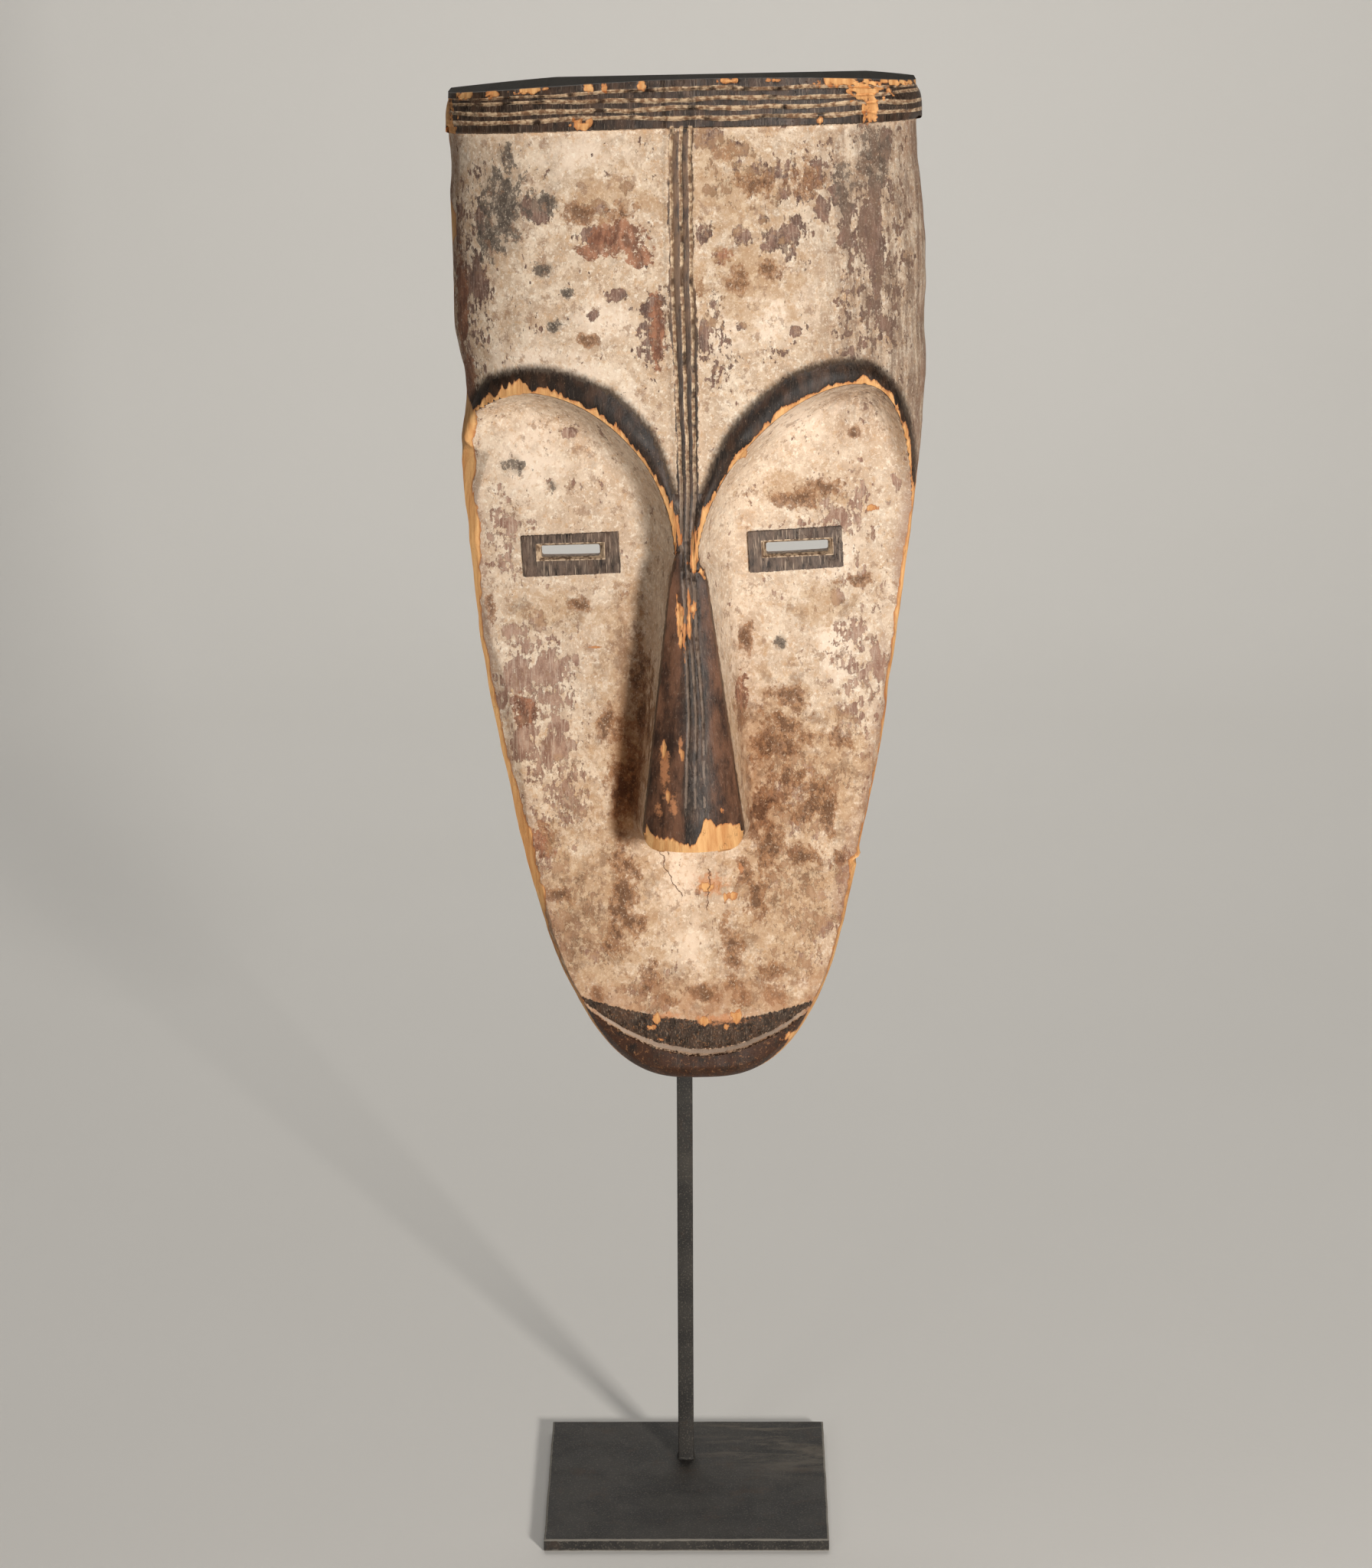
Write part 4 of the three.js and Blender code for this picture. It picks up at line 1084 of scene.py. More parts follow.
def inside_blocks(u, w, blocks):
    """Distance inside the nearest of some tilted rectangles, given as (u, w, width, height, tilt)."""
    inside = np.full(len(u), FAR_OUT)
    for at_u, at_w, width, height, tilt in blocks:
        a = math.radians(tilt)
        x = (u - at_u) * math.cos(a) + (w - at_w) * math.sin(a)
        y = (w - at_w) * math.cos(a) - (u - at_u) * math.sin(a)
        inside = np.maximum(inside, np.minimum(width / 2 - np.abs(x), height / 2 - np.abs(y)))
    return inside


def ridge_reach(offset, pitch, w):
    """Distance inside the painted ridge, whose outermost dark lines are worn thin and broken."""
    worn = smooth(np.abs(offset), 0.9 * pitch, 1.2 * pitch) * smooth(w, *RIDGE_WEARS)
    worn = worn * (0.7 + 0.7 * rough(w / 30, np.sign(offset) * 3, 95, 2))
    faded = 0.7 * smooth(w, *RIDGE_THINS) * (1 + rough(w / 17, offset / 4, 96, 3))
    return 1.5 * pitch + 0.3 - np.abs(offset) - faded - worn


def nose_soot_and_shade(w, carved):
    """Soot and painted shade in the hollow beside the nose, most of it on the viewer's left, where the
    nose's shadow falls, 0 to 1.
    """
    beside = smooth(carved.depth, 0.15 * carved.cove, 0.7 * carved.cove)
    beside = beside * (1 - smooth(carved.depth, carved.cove + 7, carved.cove + 16))
    along = smooth(w, NOSE_TIP_W - 14, NOSE_TIP_W + 6) * (1 - smooth(w, *SOOT_AND_SHADE_ENDS))
    less = 1 - 0.6 * smooth(w, *SOOT_AND_SHADE_THINS)
    return beside * along * np.where(carved.right, 0.5, 1) * (carved.depth > 0) * less


def black_parts(u, w, level, carved):
    """Distance inside each part that is painted black."""
    out = -carved.depth
    outside = (out + 0.4) * 3
    offset, pitch = crest_offset(u, w)
    bridge = (w > BRIDGE_BLACK[0]) & (w < BRIDGE_BLACK[1])
    nose = np.where(bridge, np.minimum(outside, BRIDGE_BLACK_HALF - np.abs(offset)), FAR_OUT)
    nose = np.where(on_nose(u, w), 3, np.where(carved.by_nose, 3 - 2.4 * carved.depth, nose))
    brow = np.minimum((along_brow(BAND_WIDTH, carved) - out) * 0.55 - 1.2, outside)
    ridge = np.minimum(ridge_reach(offset, pitch, w), (RIDGE_BLACK[1] - w) * 0.2)
    frames = [(eye["u"], eye["w"], eye["width"], eye["height"], eye["tilt"]) for eye in EYES]
    return {
        "brow": np.where(carved.by_brow, brow, FAR_OUT),
        "nose": nose,
        "ridge": np.where(w > RIDGE_BLACK[0], ridge, FAR_OUT),
        "band": (level - (HEIGHT - BAND_HEIGHT - 0.6)) * 2,
        "mouth": np.minimum(mouth_line(u) - w, w - lip_line(u) + 0.3),
        "chin": lip_line(u) - LEDGE_HEIGHT * 0.75 - w,
        "eye": 1.2 + 3 * inside_blocks(u, w, frames),
    }


def paint(mesh):
    """Stores on the mesh where each kind of paint and wear is, and the soot and painted shade beside the
    nose.

    Most are distances inside it, in millimetres.
    """
    points = np.empty(len(mesh.vertices) * 3)
    mesh.vertices.foreach_get("co", points)
    u, w, p = to_mask_frame(points.reshape(-1, 3))
    edge = edge_distance(u, w)
    carved = Carved(u, w)
    level = band_level(u, w)
    behind = front_depth(u, w, level, edge, carved, np.zeros(len(u), bool)) - p
    top = (level > HEIGHT - TOP_CHAMFER - 0.4) & (behind > 0.6)
    parts = black_parts(u, w, level, carved)
    dust = [DUST[name] * smooth(part, -1, 1) for name, part in parts.items()]
    crest = crest_lines(u, w) - 0.35 * (1 - smooth(w, *NOSE_GROOVES_THIN))
    width, out = along_brow(BAND_WIDTH, carved), -carved.depth
    near_nose = carved.by_nose & (carved.depth < 3)
    flank = np.abs(crest_offset(u, w)[0] - 1) - mix(9, 6.2, smooth(w, *NOSE_CREST_NARROWS))
    widened, height = 2 * SLOT_BEVEL[0], SLOT_HEIGHT + 2 * SLOT_BEVEL[1]
    slots = [
        (eye["slot_u"], eye["slot_w"], eye["slot"] + widened, height, eye["slot_tilt"]) for eye in EYES
    ]
    fields = {name: closeness(places, u, w) for name, places in PATCHES.items()}
    fields |= {
        "thin": smooth(fields["thin"], -0.3, 0.7),
        "black": np.max(list(parts.values()), axis=0),
        "chin": parts["chin"],
        "dust": np.max(dust, axis=0),
        "lines": np.maximum(crest, band_lines(u, level)),
        "ledge": w - lip_line(u) + 0.9,
        "bare": bareness(u, w, level, edge, carved),
        "hollow": smooth(behind, 5, 8) * smooth(edge, SIDE_STRIP, 2 * SIDE_STRIP) * ~top,
        "top": top.astype(float),
        "behind": np.where(edge < SIDE_STRIP, side_depth(w) - p, 0),
        "slot": inside_blocks(u, w, slots),
        "nose": np.where(near_nose, flank, FAR_OUT),
        # soot and painted shade beside the nose
        "wall": nose_soot_and_shade(w, carved),
        "halo": np.where(carved.by_brow, np.minimum(width - out, (out + 0.4) * 6), FAR_OUT),
        "edge": edge,
    }
    for name, values in fields.items():
        values = np.maximum(values, FAR_OUT).astype(np.float32)
        mesh.attributes.new(name, "FLOAT", "POINT").data.foreach_set("value", values)
    where = np.stack([u, w, p], axis=1).astype(np.float32).ravel()
    mesh.attributes.new("place", "FLOAT_VECTOR", "POINT").data.foreach_set("vector", where)


# Materials


def linear(red, green, blue):
    """A colour as photographed, 0 to 255, as the renderer counts it."""
    return (*(((c / 255 + 0.055) / 1.055) ** 2.4 if c > 10 else c / 3295 for c in (red, green, blue)), 1)


class Net:
    """The nodes of one material.

    Values are sockets or numbers, and colours are sockets or (red, green, blue) as photographed.
    Noise is given by its size in millimetres, its stretch up the wood's grain, its detail, its seed and
    its roughness. An edge is (low, high, strength), as step takes it.
    """

    def __init__(self, name):
        self.material = bpy.data.materials.new(name)
        self.material.use_nodes = True
        self.tree = self.material.node_tree
        self.shader = self.tree.nodes["Principled BSDF"]
        self.where = None

    def node(self, kind, settings=(), **inputs):
        node = self.tree.nodes.new(kind)
        for key, value in dict(settings).items():
            setattr(node, key, value)
        for key, value in inputs.items():
            self.put(node.inputs[key.replace("_", " ")], value)
        return node

    def put(self, socket, value):
        if isinstance(value, bpy.types.NodeSocket):
            self.tree.links.new(value, socket)
        else:
            socket.default_value = linear(*value) if socket.type == "RGBA" else value

    def math(self, operation, *values):
        node = self.node("ShaderNodeMath", {"operation": operation})
        for socket, value in zip(node.inputs, values):
            self.put(socket, value)
        return node.outputs[0]

    def chain(self, operation, result, *others):
        for value in others:
            result = self.math(operation, result, value)
        return result

    def total(self, *values):
        return self.chain("ADD", *values)

    def times(self, *values):
        return self.chain("MULTIPLY", *values)

    def rest(self, value):
        """What is left of 1."""
        return self.math("SUBTRACT", 1, value)

    def field(self, name):
        return self.node("ShaderNodeAttribute", {"attribute_name": name}).outputs["Fac"]

    def step(self, value, low, high, to=1.0):
        """0 up to low, then rising smoothly to full strength at high.

        The two may be the other way round.
        """
        ends = {"interpolation_type": "SMOOTHSTEP"}
        node = self.node("ShaderNodeMapRange", ends, Value=value, From_Min=low, From_Max=high, To_Max=to)
        return node.outputs[0]

    def blend(self, a, b, share, mode="MIX"):
        node = self.node("ShaderNodeMix", {"data_type": "RGBA", "blend_type": mode})
        for index, value in ((0, share), (6, a), (7, b)):
            self.put(node.inputs[index], value)
        return node.outputs[2]

    def mix(self, a, b, share):
        node = self.node("ShaderNodeMix", {"data_type": "FLOAT"})
        for index, value in ((0, share), (2, a), (3, b)):
            self.put(node.inputs[index], value)
        return node.outputs[0]

    def noise(self, size, stretch=1, detail=3, seed=0, roughness=0.55):
        """Noise from 0 to 1."""
        scale = (1 / size, 1 / (size * stretch), 1 / size)
        moved = (seed * 7.3, seed * 3.1, 0)
        mapped = self.node("ShaderNodeMapping", Vector=self.where, Scale=scale, Location=moved).outputs[0]
        node = self.node("ShaderNodeTexNoise", Vector=mapped, Scale=1.0, Detail=detail, Roughness=roughness)
        return node.outputs["Fac"]

    def patches(self, edge, *noise):
        """Noise hardened into patches."""
        return self.step(self.noise(*noise), *edge)

    def ragged(self, amount, *noise):
        """Noise round nothing, that far either way at the most."""
        return self.times(self.math("SUBTRACT", self.noise(*noise), 0.5), 2 * amount)

    def torn(self, name, amount, *noise):
        """A field of the mesh with its contours made ragged."""
        return self.total(self.field(name), self.ragged(amount, *noise))

    def coated(self, colour, *coats):
        """A colour under coats.

        Each is given by its tint, how far it covers and, if it isn't mixed, its blend mode.
        """
        for coat in coats:
            colour = self.blend(colour, *coat)
        return colour

    def finish(self, colour, roughness, height, depth, specular):
        """Height is from 0 to 1 and depth in metres."""
        relief = self.node("ShaderNodeBump", Height=height, Distance=depth).outputs[0]
        for name, value in (("Base Color", colour), ("Roughness", roughness), ("Normal", relief)):
            self.put(self.shader.inputs[name], value)
        self.shader.inputs["Specular IOR Level"].default_value = specular
        return self.material


def kaolin(net):
    """White clay, yellowed, mottled and gritty."""
    soft = net.total(net.times(net.noise(46, 1, 3, 1), 0.4), net.times(net.noise(13, 1, 6, 2, 0.65), 0.6))
    return net.coated(
        (190, 160, 130),
        ((228, 208, 184), net.step(soft, 0.38, 0.6)),
        ((180, 142, 106), net.patches((0.48, 0.66, 0.62), 17, 1, 6, 3, 0.66)),
        ((152, 132, 116), net.patches((0.53, 0.68, 0.5), 15, 1, 5, 4, 0.65)),
        ((172, 140, 112), net.patches((0.5, 0.56, 0.6), 6, 1.2, 8, 5, 0.74)),
        ((140, 108, 84), net.patches((0.54, 0.66, 0.45), 2.6, 1.3, 6, 8, 0.75)),
        ((118, 90, 68), net.patches((0.6, 0.72, 0.5), 1.5, 1.5, 4, 6, 0.7)),
    )


def ground(net, on_face):
    """The purple-brown ground under the clay, brushed up and down, and rubbed paler on the face."""
    mottle = net.patches((0.38, 0.64), 6, 2, 6, 11, 0.65)
    return net.coated(
        net.blend((82, 57, 51), (130, 97, 83), mottle),
        (net.blend((134, 98, 82), (176, 142, 122), mottle), on_face),
        ((196, 172, 154), net.times(net.patches((0.48, 0.66), 1.1, 12, 3, 12), net.mix(0.3, 0.6, on_face))),
        ((208, 184, 162), net.patches((0.58, 0.7, 0.55), 1.5, 1.6, 4, 13, 0.7)),
    )


def clay_coat(net, w):
    """The clay on its ground, rubbed through in thin zones and flaked off in crisp patches.

    Returns the colour, and how far the clay is gone.
    """
    flakes = net.times(net.noise(10, 1.2, 8, 41, 0.7), 0.65)
    flakes = net.total(flakes, net.times(net.noise(2.2, 2.4, 4, 42), 0.35))
    rubbed = net.math("SUBTRACT", net.total(net.times(net.field("thin"), 0.095), 0.4), flakes)
    crisp = net.times(net.math("SUBTRACT", 0.5, flakes), 5)
    flaked = net.times(net.total(net.field("purple"), crisp), 0.13)
    gone = net.step(net.math("MAXIMUM", rubbed, flaked), -0.004, 0.009)
    on_face = net.rest(net.step(w, *FACE_ENDS))
    white = net.step(net.torn("white", 0.9, 12, 1, 5, 43), -0.1, 0.8, 0.75)
    colour = net.coated(
        kaolin(net),
        ((238, 217, 195), net.total(white, net.mix(0.12, 0.28, on_face))),
        ((202, 162, 122), net.patches((0.52, 0.62, 0.55), 3.6, 1.2, 7, 98, 0.72)),
        ((248, 236, 218), net.patches((0.54, 0.62, 0.6), 2.6, 1.2, 6, 99, 0.72)),
        (ground(net, on_face), net.times(gone, 0.94)),
    )
    return colour, gone


def stains(net, colour, w):
    """Rust, tan, brown and grey at their places, and blots all over."""
    rust = net.blend((112, 72, 54), (166, 114, 86), net.patches((0.4, 0.62), 4, 3, 5, 45))
    tan = net.blend((122, 82, 54), (168, 124, 88), net.patches((0.42, 0.58), 2.6, 1.4, 7, 69, 0.76))
    near_tan = net.step(net.field("tan"), -0.5, 0.3)
    marbled = net.patches((0.5, 0.6, 0.5), 13, 1.2, 8, 88, 0.66)
    brown = net.torn("brown", 2.4, 8, 1.3, 8, 46, 0.68)
    smudge = net.torn("grey", 0.8, 8, 1, 5, 91)
    grey = net.torn("grey", 2.6, 5, 1.4, 8, 47, 0.7)
    return net.coated(
        colour,
        (rust, net.step(net.torn("red", 1.7, 5, 1, 7, 44, 0.68), -0.05, 0.12, 0.92)),
        ((180, 143, 106), net.step(net.torn("tan", 2.6, 11, 1, 7, 87, 0.7), -0.1, 0.5, 0.6)),
        ((120, 88, 64), net.times(near_tan, net.step(w, *MARBLED_BELOW), marbled)),
        ((224, 200, 170), net.times(net.patches((0.54, 0.58, 0.5), 5, 1.2, 8, 94, 0.74), near_tan)),
        (tan, net.step(brown, 0, 0.4, 0.8)),
        ((88, 60, 42), net.step(brown, 0.5, 0.95, 0.65)),
        ((148, 130, 112), net.step(smudge, -0.3, 0.5, 0.55)),
        ((94, 83, 74), net.step(grey, 0.1, 0.3, 0.8)),
        ((62, 54, 48), net.step(grey, 0.6, 0.9, 0.6)),
        ((148, 114, 90), net.patches((0.56, 0.62, 0.6), 8, 1.2, 7, 48, 0.72)),
    )


def grime_and_painted_shade(net, colour, gone, u, w):
    """Dirt along the edges, painted shade down the forehead's right side, soot and painted shade beside the
    nose, and dirt over the mouth and round the brows.
    """
    near_edge = net.rest(net.step(net.field("edge"), *GRIMY_EDGE))
    # Painted shade down the forehead's right side, where it turns away from the light, streaked up and
    # down.
    painted_shade = net.times(net.step(u, *PAINTED_SHADE_ACROSS), net.step(w, *PAINTED_SHADE_ABOVE))
    painted_shade = net.times(painted_shade, net.rest(net.step(w, *BAND_FOOT)))
    streaks = net.mix(0.2, 0.8, net.patches((0.4, 0.62), 5, 7, 6, 83, 0.68))
    grit = net.patches((0.54, 0.7, 0.5), 1.3, 1.3, 4, 7, 0.7)
    over_mouth = net.step(w, *BROWNISH_BELOW)
    return net.coated(
        colour,
        ((138, 96, 76), net.times(near_edge, net.patches((0.36, 0.6), 9, 3, 6, 50), 0.6)),
        # painted shade on the forehead's right side
        ((116, 92, 76), net.times(painted_shade, streaks)),
        ((248, 230, 206), net.times(grit, net.mix(1, 0.45, gone))),
        # soot and painted shade, multiplied in beside the nose
        ((206, 172, 140), net.times(net.field("wall"), net.patches((0.1, 0.5), 14, 3, 5, 66)), "MULTIPLY"),
        ((176, 128, 94), net.times(over_mouth, net.patches((0.3, 0.6, 0.5), 11, 1, 6, 100))),
        ((252, 240, 226), net.step(w, *WARM_BELOW, 0.5), "MULTIPLY"),
        ((52, 38, 28), net.step(net.torn("halo", 2.2, 1.5, 2, 4, 84), -3.6, 1.6, 0.92)),
    )


def dark_paint(net, w):
    """Worn black: brown where it is thin, dusty, scratched up and down and flecked.

    The nose's sides are bloomed brown, the ridge is faded high up and the chin reddish.
    """
    dust = net.field("dust")
    scratches = net.patches((0.57, 0.66), 0.7, 20, 2, 33)
    bloom = net.coated(
        (50, 32, 23),
        ((120, 82, 60), net.patches((0.38, 0.64), 13, 2.4, 8, 53, 0.68)),
        ((160, 132, 112), net.patches((0.56, 0.7, 0.4), 1.6, 1.8, 4, 92, 0.7)),
    )
    high = net.times(net.step(w, *RIDGE_FADES), net.rest(net.step(w, *RIDGE_HEAD)))
    chin = net.step(net.field("chin"), -0.5, 0.5)
    return net.coated(
        (27, 17, 10),
        ((66, 44, 30), net.patches((0.42, 0.68), 7, 2, 6, 31)),
        ((130, 109, 94), net.times(dust, net.patches((0.28, 0.66), 3, 3, 6, 32, 0.65), 0.7)),
        ((186, 164, 142), net.times(scratches, net.total(net.times(dust, 0.6), 0.04))),
        ((158, 128, 102), net.patches((0.64, 0.72, 0.55), 1.1, 1.4, 3, 34, 0.7)),
        (bloom, net.times(net.step(net.torn("nose", 5, 4, 6, 7, 52), -2.5, 2), 0.85)),
        ((132, 101, 76), net.times(high, net.patches((0.34, 0.6), 5, 3, 6, 93, 0.68), 0.7)),
        ((66, 38, 22), net.times(chin, net.patches((0.3, 0.6), 6, 1, 6, 97), 0.85)),
    )


def pale_lines(net, colour, black, u, w):
    """Clay or wood that shows in orange spots, in the grooves, on the ledge and in specks on the chin."""
    groove = net.total(net.torn("lines", 0.55, 2, 1, 4, 54), net.step(w, *BAND_GROOVES_WIDEN))
    groove = net.times(net.step(groove, -0.1, 0.3), net.patches((0.34, 0.48), 12, 1, 5, 55))
    low = net.rest(net.step(w, *RIDGE_FOOT))
    pale = net.coated(
        (140, 108, 82),
        ((210, 184, 152), net.patches((0.4, 0.62), 3, 1, 4, 56)),
        ((148, 128, 112), low),
    )
    ledge = net.total(net.math("ABSOLUTE", net.field("ledge")), net.ragged(0.4, 5, 1, 3, 67))
    ends = net.step(net.math("ABSOLUTE", net.math("SUBTRACT", u, LIP_MIDDLE)), *LEDGE_ENDS)
    ledge = net.times(net.step(ledge, *LEDGE_LINE, 0.95), ends, net.patches((0.2, 0.42), 16, 1, 3, 85))
    specks = net.patches((0.56, 0.66, 0.6), 1.6, 1.2, 4, 86, 0.7)
    return net.coated(
        colour,
        ((202, 138, 94), net.step(net.torn("orange", 1.7, 3.5, 1, 7, 49, 0.7), 0, 0.7, 0.7)),
        (pale, net.times(groove, net.mix(0.95, 0.55, low))),
        ((198, 174, 154), ledge),
        ((150, 104, 68), net.times(net.rest(net.step(w, *CHIN_SPECKS)), black, specks)),
    )


def unpainted(net, colour, bare_edge, bare):
    """Bare wood with a darker rim where the paint ends, the raw sides and hollow, the slots, and the top,
    darkened as patina and as painted shade.
    """
    wood = net.coated(
        (200, 138, 82),
        ((232, 180, 120), net.patches((0.3, 0.66), 4, 16, 5, 21)),
        ((172, 112, 64), net.patches((0.58, 0.74, 0.26), 0.8, 22, 2, 22)),
        ((170, 102, 60), net.times(net.rest(net.step(bare_edge, 0.1, 1.5)), 0.75)),
    )
    side = net.coated(
        (104, 79, 58),
        ((140, 110, 84), net.patches((0.3, 0.7), 3, 12, 8, 59)),
        ((88, 64, 46), net.patches((0.52, 0.72, 0.5), 0.9, 24, 3, 89)),
    )
    raw = net.coated(
        (112, 82, 56),
        ((150, 113, 78), net.patches((0.3, 0.7), 4, 14, 8, 60)),
        ((92, 66, 44), net.patches((0.52, 0.72, 0.5), 1, 26, 3, 90)),
    )
    # the top: dark patina, darkened further as painted shade where light only grazes it
    top_patina_and_shade = net.blend((24, 19, 12), (54, 45, 30), net.noise(9, 1, 5, 68))
    lip = net.blend((112, 88, 68), (206, 180, 150), net.patches((0.4, 0.58), 2.2, 3, 4, 61))
    hollow = net.field("hollow")
    return net.coated(
        colour,
        (wood, bare),
        (side, net.step(net.torn("behind", 6, 6, 4, 4, 58), 3, 9, 0.9)),
        (raw, hollow),
        (top_patina_and_shade, net.field("top")),
        (lip, net.times(net.step(net.field("slot"), -0.7, -0.4), net.rest(hollow))),
    )


def crack(net, u, w, from_u, from_w, to_u, to_w):
    """1 along a hair crack between two places."""
    ends = dict(From_Min=from_w, From_Max=to_w, To_Min=from_u, To_Max=to_u)
    line = net.node("ShaderNodeMapRange", Value=w, **ends).outputs[0]
    line = net.total(line, net.ragged(3, 5, 1, 3, 81))
    gap = net.math("ABSOLUTE", net.math("SUBTRACT", u, line))
    ends = net.times(net.math("GREATER_THAN", w, to_w), net.math("LESS_THAN", w, from_w))
    return net.times(net.rest(net.step(gap, *CRACK_LINE)), ends)


def mask_material():
    net = Net("painted_wood")
    net.where = net.node("ShaderNodeAttribute", {"attribute_name": "place"}).outputs["Vector"]
    u, w, _ = net.node("ShaderNodeSeparateXYZ", Vector=net.where).outputs
    black = net.step(net.torn("black", 2.2, 1.6, 3, 4, 51), -0.3, 0.5)
    bare_edge = net.torn("bare", 1.3, 1.3, 6, 4, 57)
    bare = net.step(bare_edge, -0.05, 0.2)
    cracked = net.math("MINIMUM", net.total(*(crack(net, u, w, *ends) for ends in CRACKS)), 1)

    colour, gone = clay_coat(net, w)
    colour = grime_and_painted_shade(net, stains(net, colour, w), gone, u, w)
    colour = pale_lines(net, net.blend(colour, dark_paint(net, w), black), black, u, w)
    colour = unpainted(net, colour, bare_edge, bare)
    colour = net.blend(colour, (112, 72, 48), net.times(cracked, 0.8))

    roughness = net.mix(net.mix(0.88, 0.8, gone), net.mix(0.32, 0.66, net.noise(4, 4, 3, 62)), black)
    roughness = net.mix(net.mix(roughness, 0.72, bare), 0.95, net.field("top"))
    grit = net.times(net.noise(0.9, 1.3, 4, 63, 0.7), 0.5)
    grit = net.total(grit, net.times(net.noise(3.4, 1, 4, 64), 0.4))
    grain = net.times(net.noise(0.8, 18, 2, 65), net.total(net.times(bare, 0.4), net.times(black, 0.2)))
    worn = net.total(net.times(gone, -0.35), net.times(bare, -0.4), net.times(cracked, -0.8))
    height = net.total(net.times(grit, net.mix(1, 0.5, black)), grain, worn)
    return net.finish(colour, roughness, height, depth=0.0006, specular=0.3)


def steel_material():
    """Blackened steel, finely speckled.

    It is rubbed paler at the back right of the plate, and paler along its arrises, worn and partly a
    painted highlight.
    """
    net = Net("black_steel")
    metres = net.node("ShaderNodeTexCoord").outputs["Object"]
    scaled = net.node("ShaderNodeVectorMath", {"operation": "SCALE"}, Vector=metres, Scale=1 / MM)
    net.where = scaled.outputs[0]
    x, y, _ = net.node("ShaderNodeSeparateXYZ", Vector=net.where).outputs
    scale = (1 / 60, 1 / 14, 1 / 30)
    turned = net.node("ShaderNodeMapping", Vector=net.where, Rotation=(0, 0, -0.9), Scale=scale).outputs[0]
    strokes = dict(Vector=turned, Scale=1.0, Detail=8.0, Roughness=0.7, Distortion=0.9)
    rubbed = net.step(net.node("ShaderNodeTexNoise", **strokes).outputs["Fac"], 0.42, 0.66)
    rubbed = net.times(rubbed, net.step(x, *RUBBED_X), net.step(y, *RUBBED_Y))
    colour = net.coated(
        (43, 41, 39),
        ((58, 55, 51), net.patches((0.36, 0.66), 30, 1, 5, 71)),
        ((100, 91, 79), rubbed),
        ((90, 84, 76), net.patches((0.54, 0.68, 0.7), 1.1, 1, 2, 72)),
        ((70, 54, 42), net.patches((0.56, 0.68, 0.4), 20, 1, 6, 76, 0.7)),
        # arrises: worn paler, and partly a painted highlight
        ((134, 128, 118), net.step(net.torn("arris", 0.6, 4, 1, 4, 77), 0.45, 0.8, 0.75)),
    )
    height = net.total(net.times(net.noise(0.9, 1, 3, 74), 0.6), net.times(net.noise(5, 1, 3, 75), 0.4))
    roughness = net.mix(0.5, 0.7, net.noise(12, 1, 5, 73))
    return net.finish(colour, roughness, height, depth=0.00014, specular=0.22)


# Stand


def rounded_square(half, radius):
    """One ring of points round a square with rounded corners."""
    ring = []
    for turn in range(4):
        corner = (turn + 0.5) * math.pi / 2
        reach = (half - radius) * math.sqrt(2)
        for angle in np.linspace(0, math.pi / 2, CORNER_STEPS) + turn * math.pi / 2:
            x = reach * math.cos(corner) + radius * math.cos(angle)
            y = reach * math.sin(corner) + radius * math.sin(angle)
            ring.append((x, y))
    return np.array(ring)


def loft(name, rings, material, arris=0):
    """A closed piece through rings of points, in millimetres in the row frame.

    arris says how bright each ring's arris is, worn and partly a painted highlight.
    """
    count = len(rings[0])
    points = np.concatenate(rings) * MM
    faces = [list(range(count))[::-1], list(range(len(points) - count, len(points)))]
    for start in range(0, len(points) - count, count):
        for k in range(count):
            a, b = start + k, start + (k + 1) % count
            faces.append([a, b, b + count, a + count])
    mesh = bpy.data.meshes.new(name)
    mesh.from_pydata(points.tolist(), [], faces)
    mesh.shade_smooth()
    mesh.set_sharp_from_angle(angle=SHARP_ANGLE)
    worn = np.repeat(np.broadcast_to(arris, len(rings)), count).astype(np.float32)
    mesh.attributes.new("arris", "FLOAT", "POINT").data.foreach_set("value", worn)
    mesh.materials.append(material)
    return place_object(name, mesh)


def corners_of(node):
    """The corners of a piece of the CAD model, in metres."""
    return np.array([v.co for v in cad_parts[node].data.vertices])


def box_of(node):
    return [np.array(corner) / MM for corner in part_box(node)]


def make_plate(material):
    """The foot plate. Its sawn edges waver a little, and their arrises are eased, worn bright and partly
    painted as a highlight.
    """
    low, high = box_of("stand_plate")
    t = np.linspace(-1, 1, PLATE_STEPS + 1)[:-1]
    one = np.ones(PLATE_STEPS)
    x = np.concatenate([t, one, -t, -one])
    y = np.concatenate([-one, t, one, -t])
    dents = SAWN_EDGE * (0.5 + 0.5 * rough(np.arange(len(x)) / 4, 0 * x, 91))
    half = (high[0] - low[0]) / 2
    edge = [(low[2] + rise, inset, worn) for rise, inset, worn in PLATE_PROFILE]
    edge += [(high[2] - rise, inset, worn) for rise, inset, worn in PLATE_PROFILE[::-1]]
    rings = []
    for z, inset, _ in edge:
        reach = half - inset - dents
        rings.append(np.stack([x * reach, y * reach, z + 0 * x], axis=1))
    rings.append(rings[-1] * (1 - PLATE_WORN / half, 1 - PLATE_WORN / half, 1))
    return loft("foot_plate", rings, material, [worn for _, _, worn in edge] + [0])


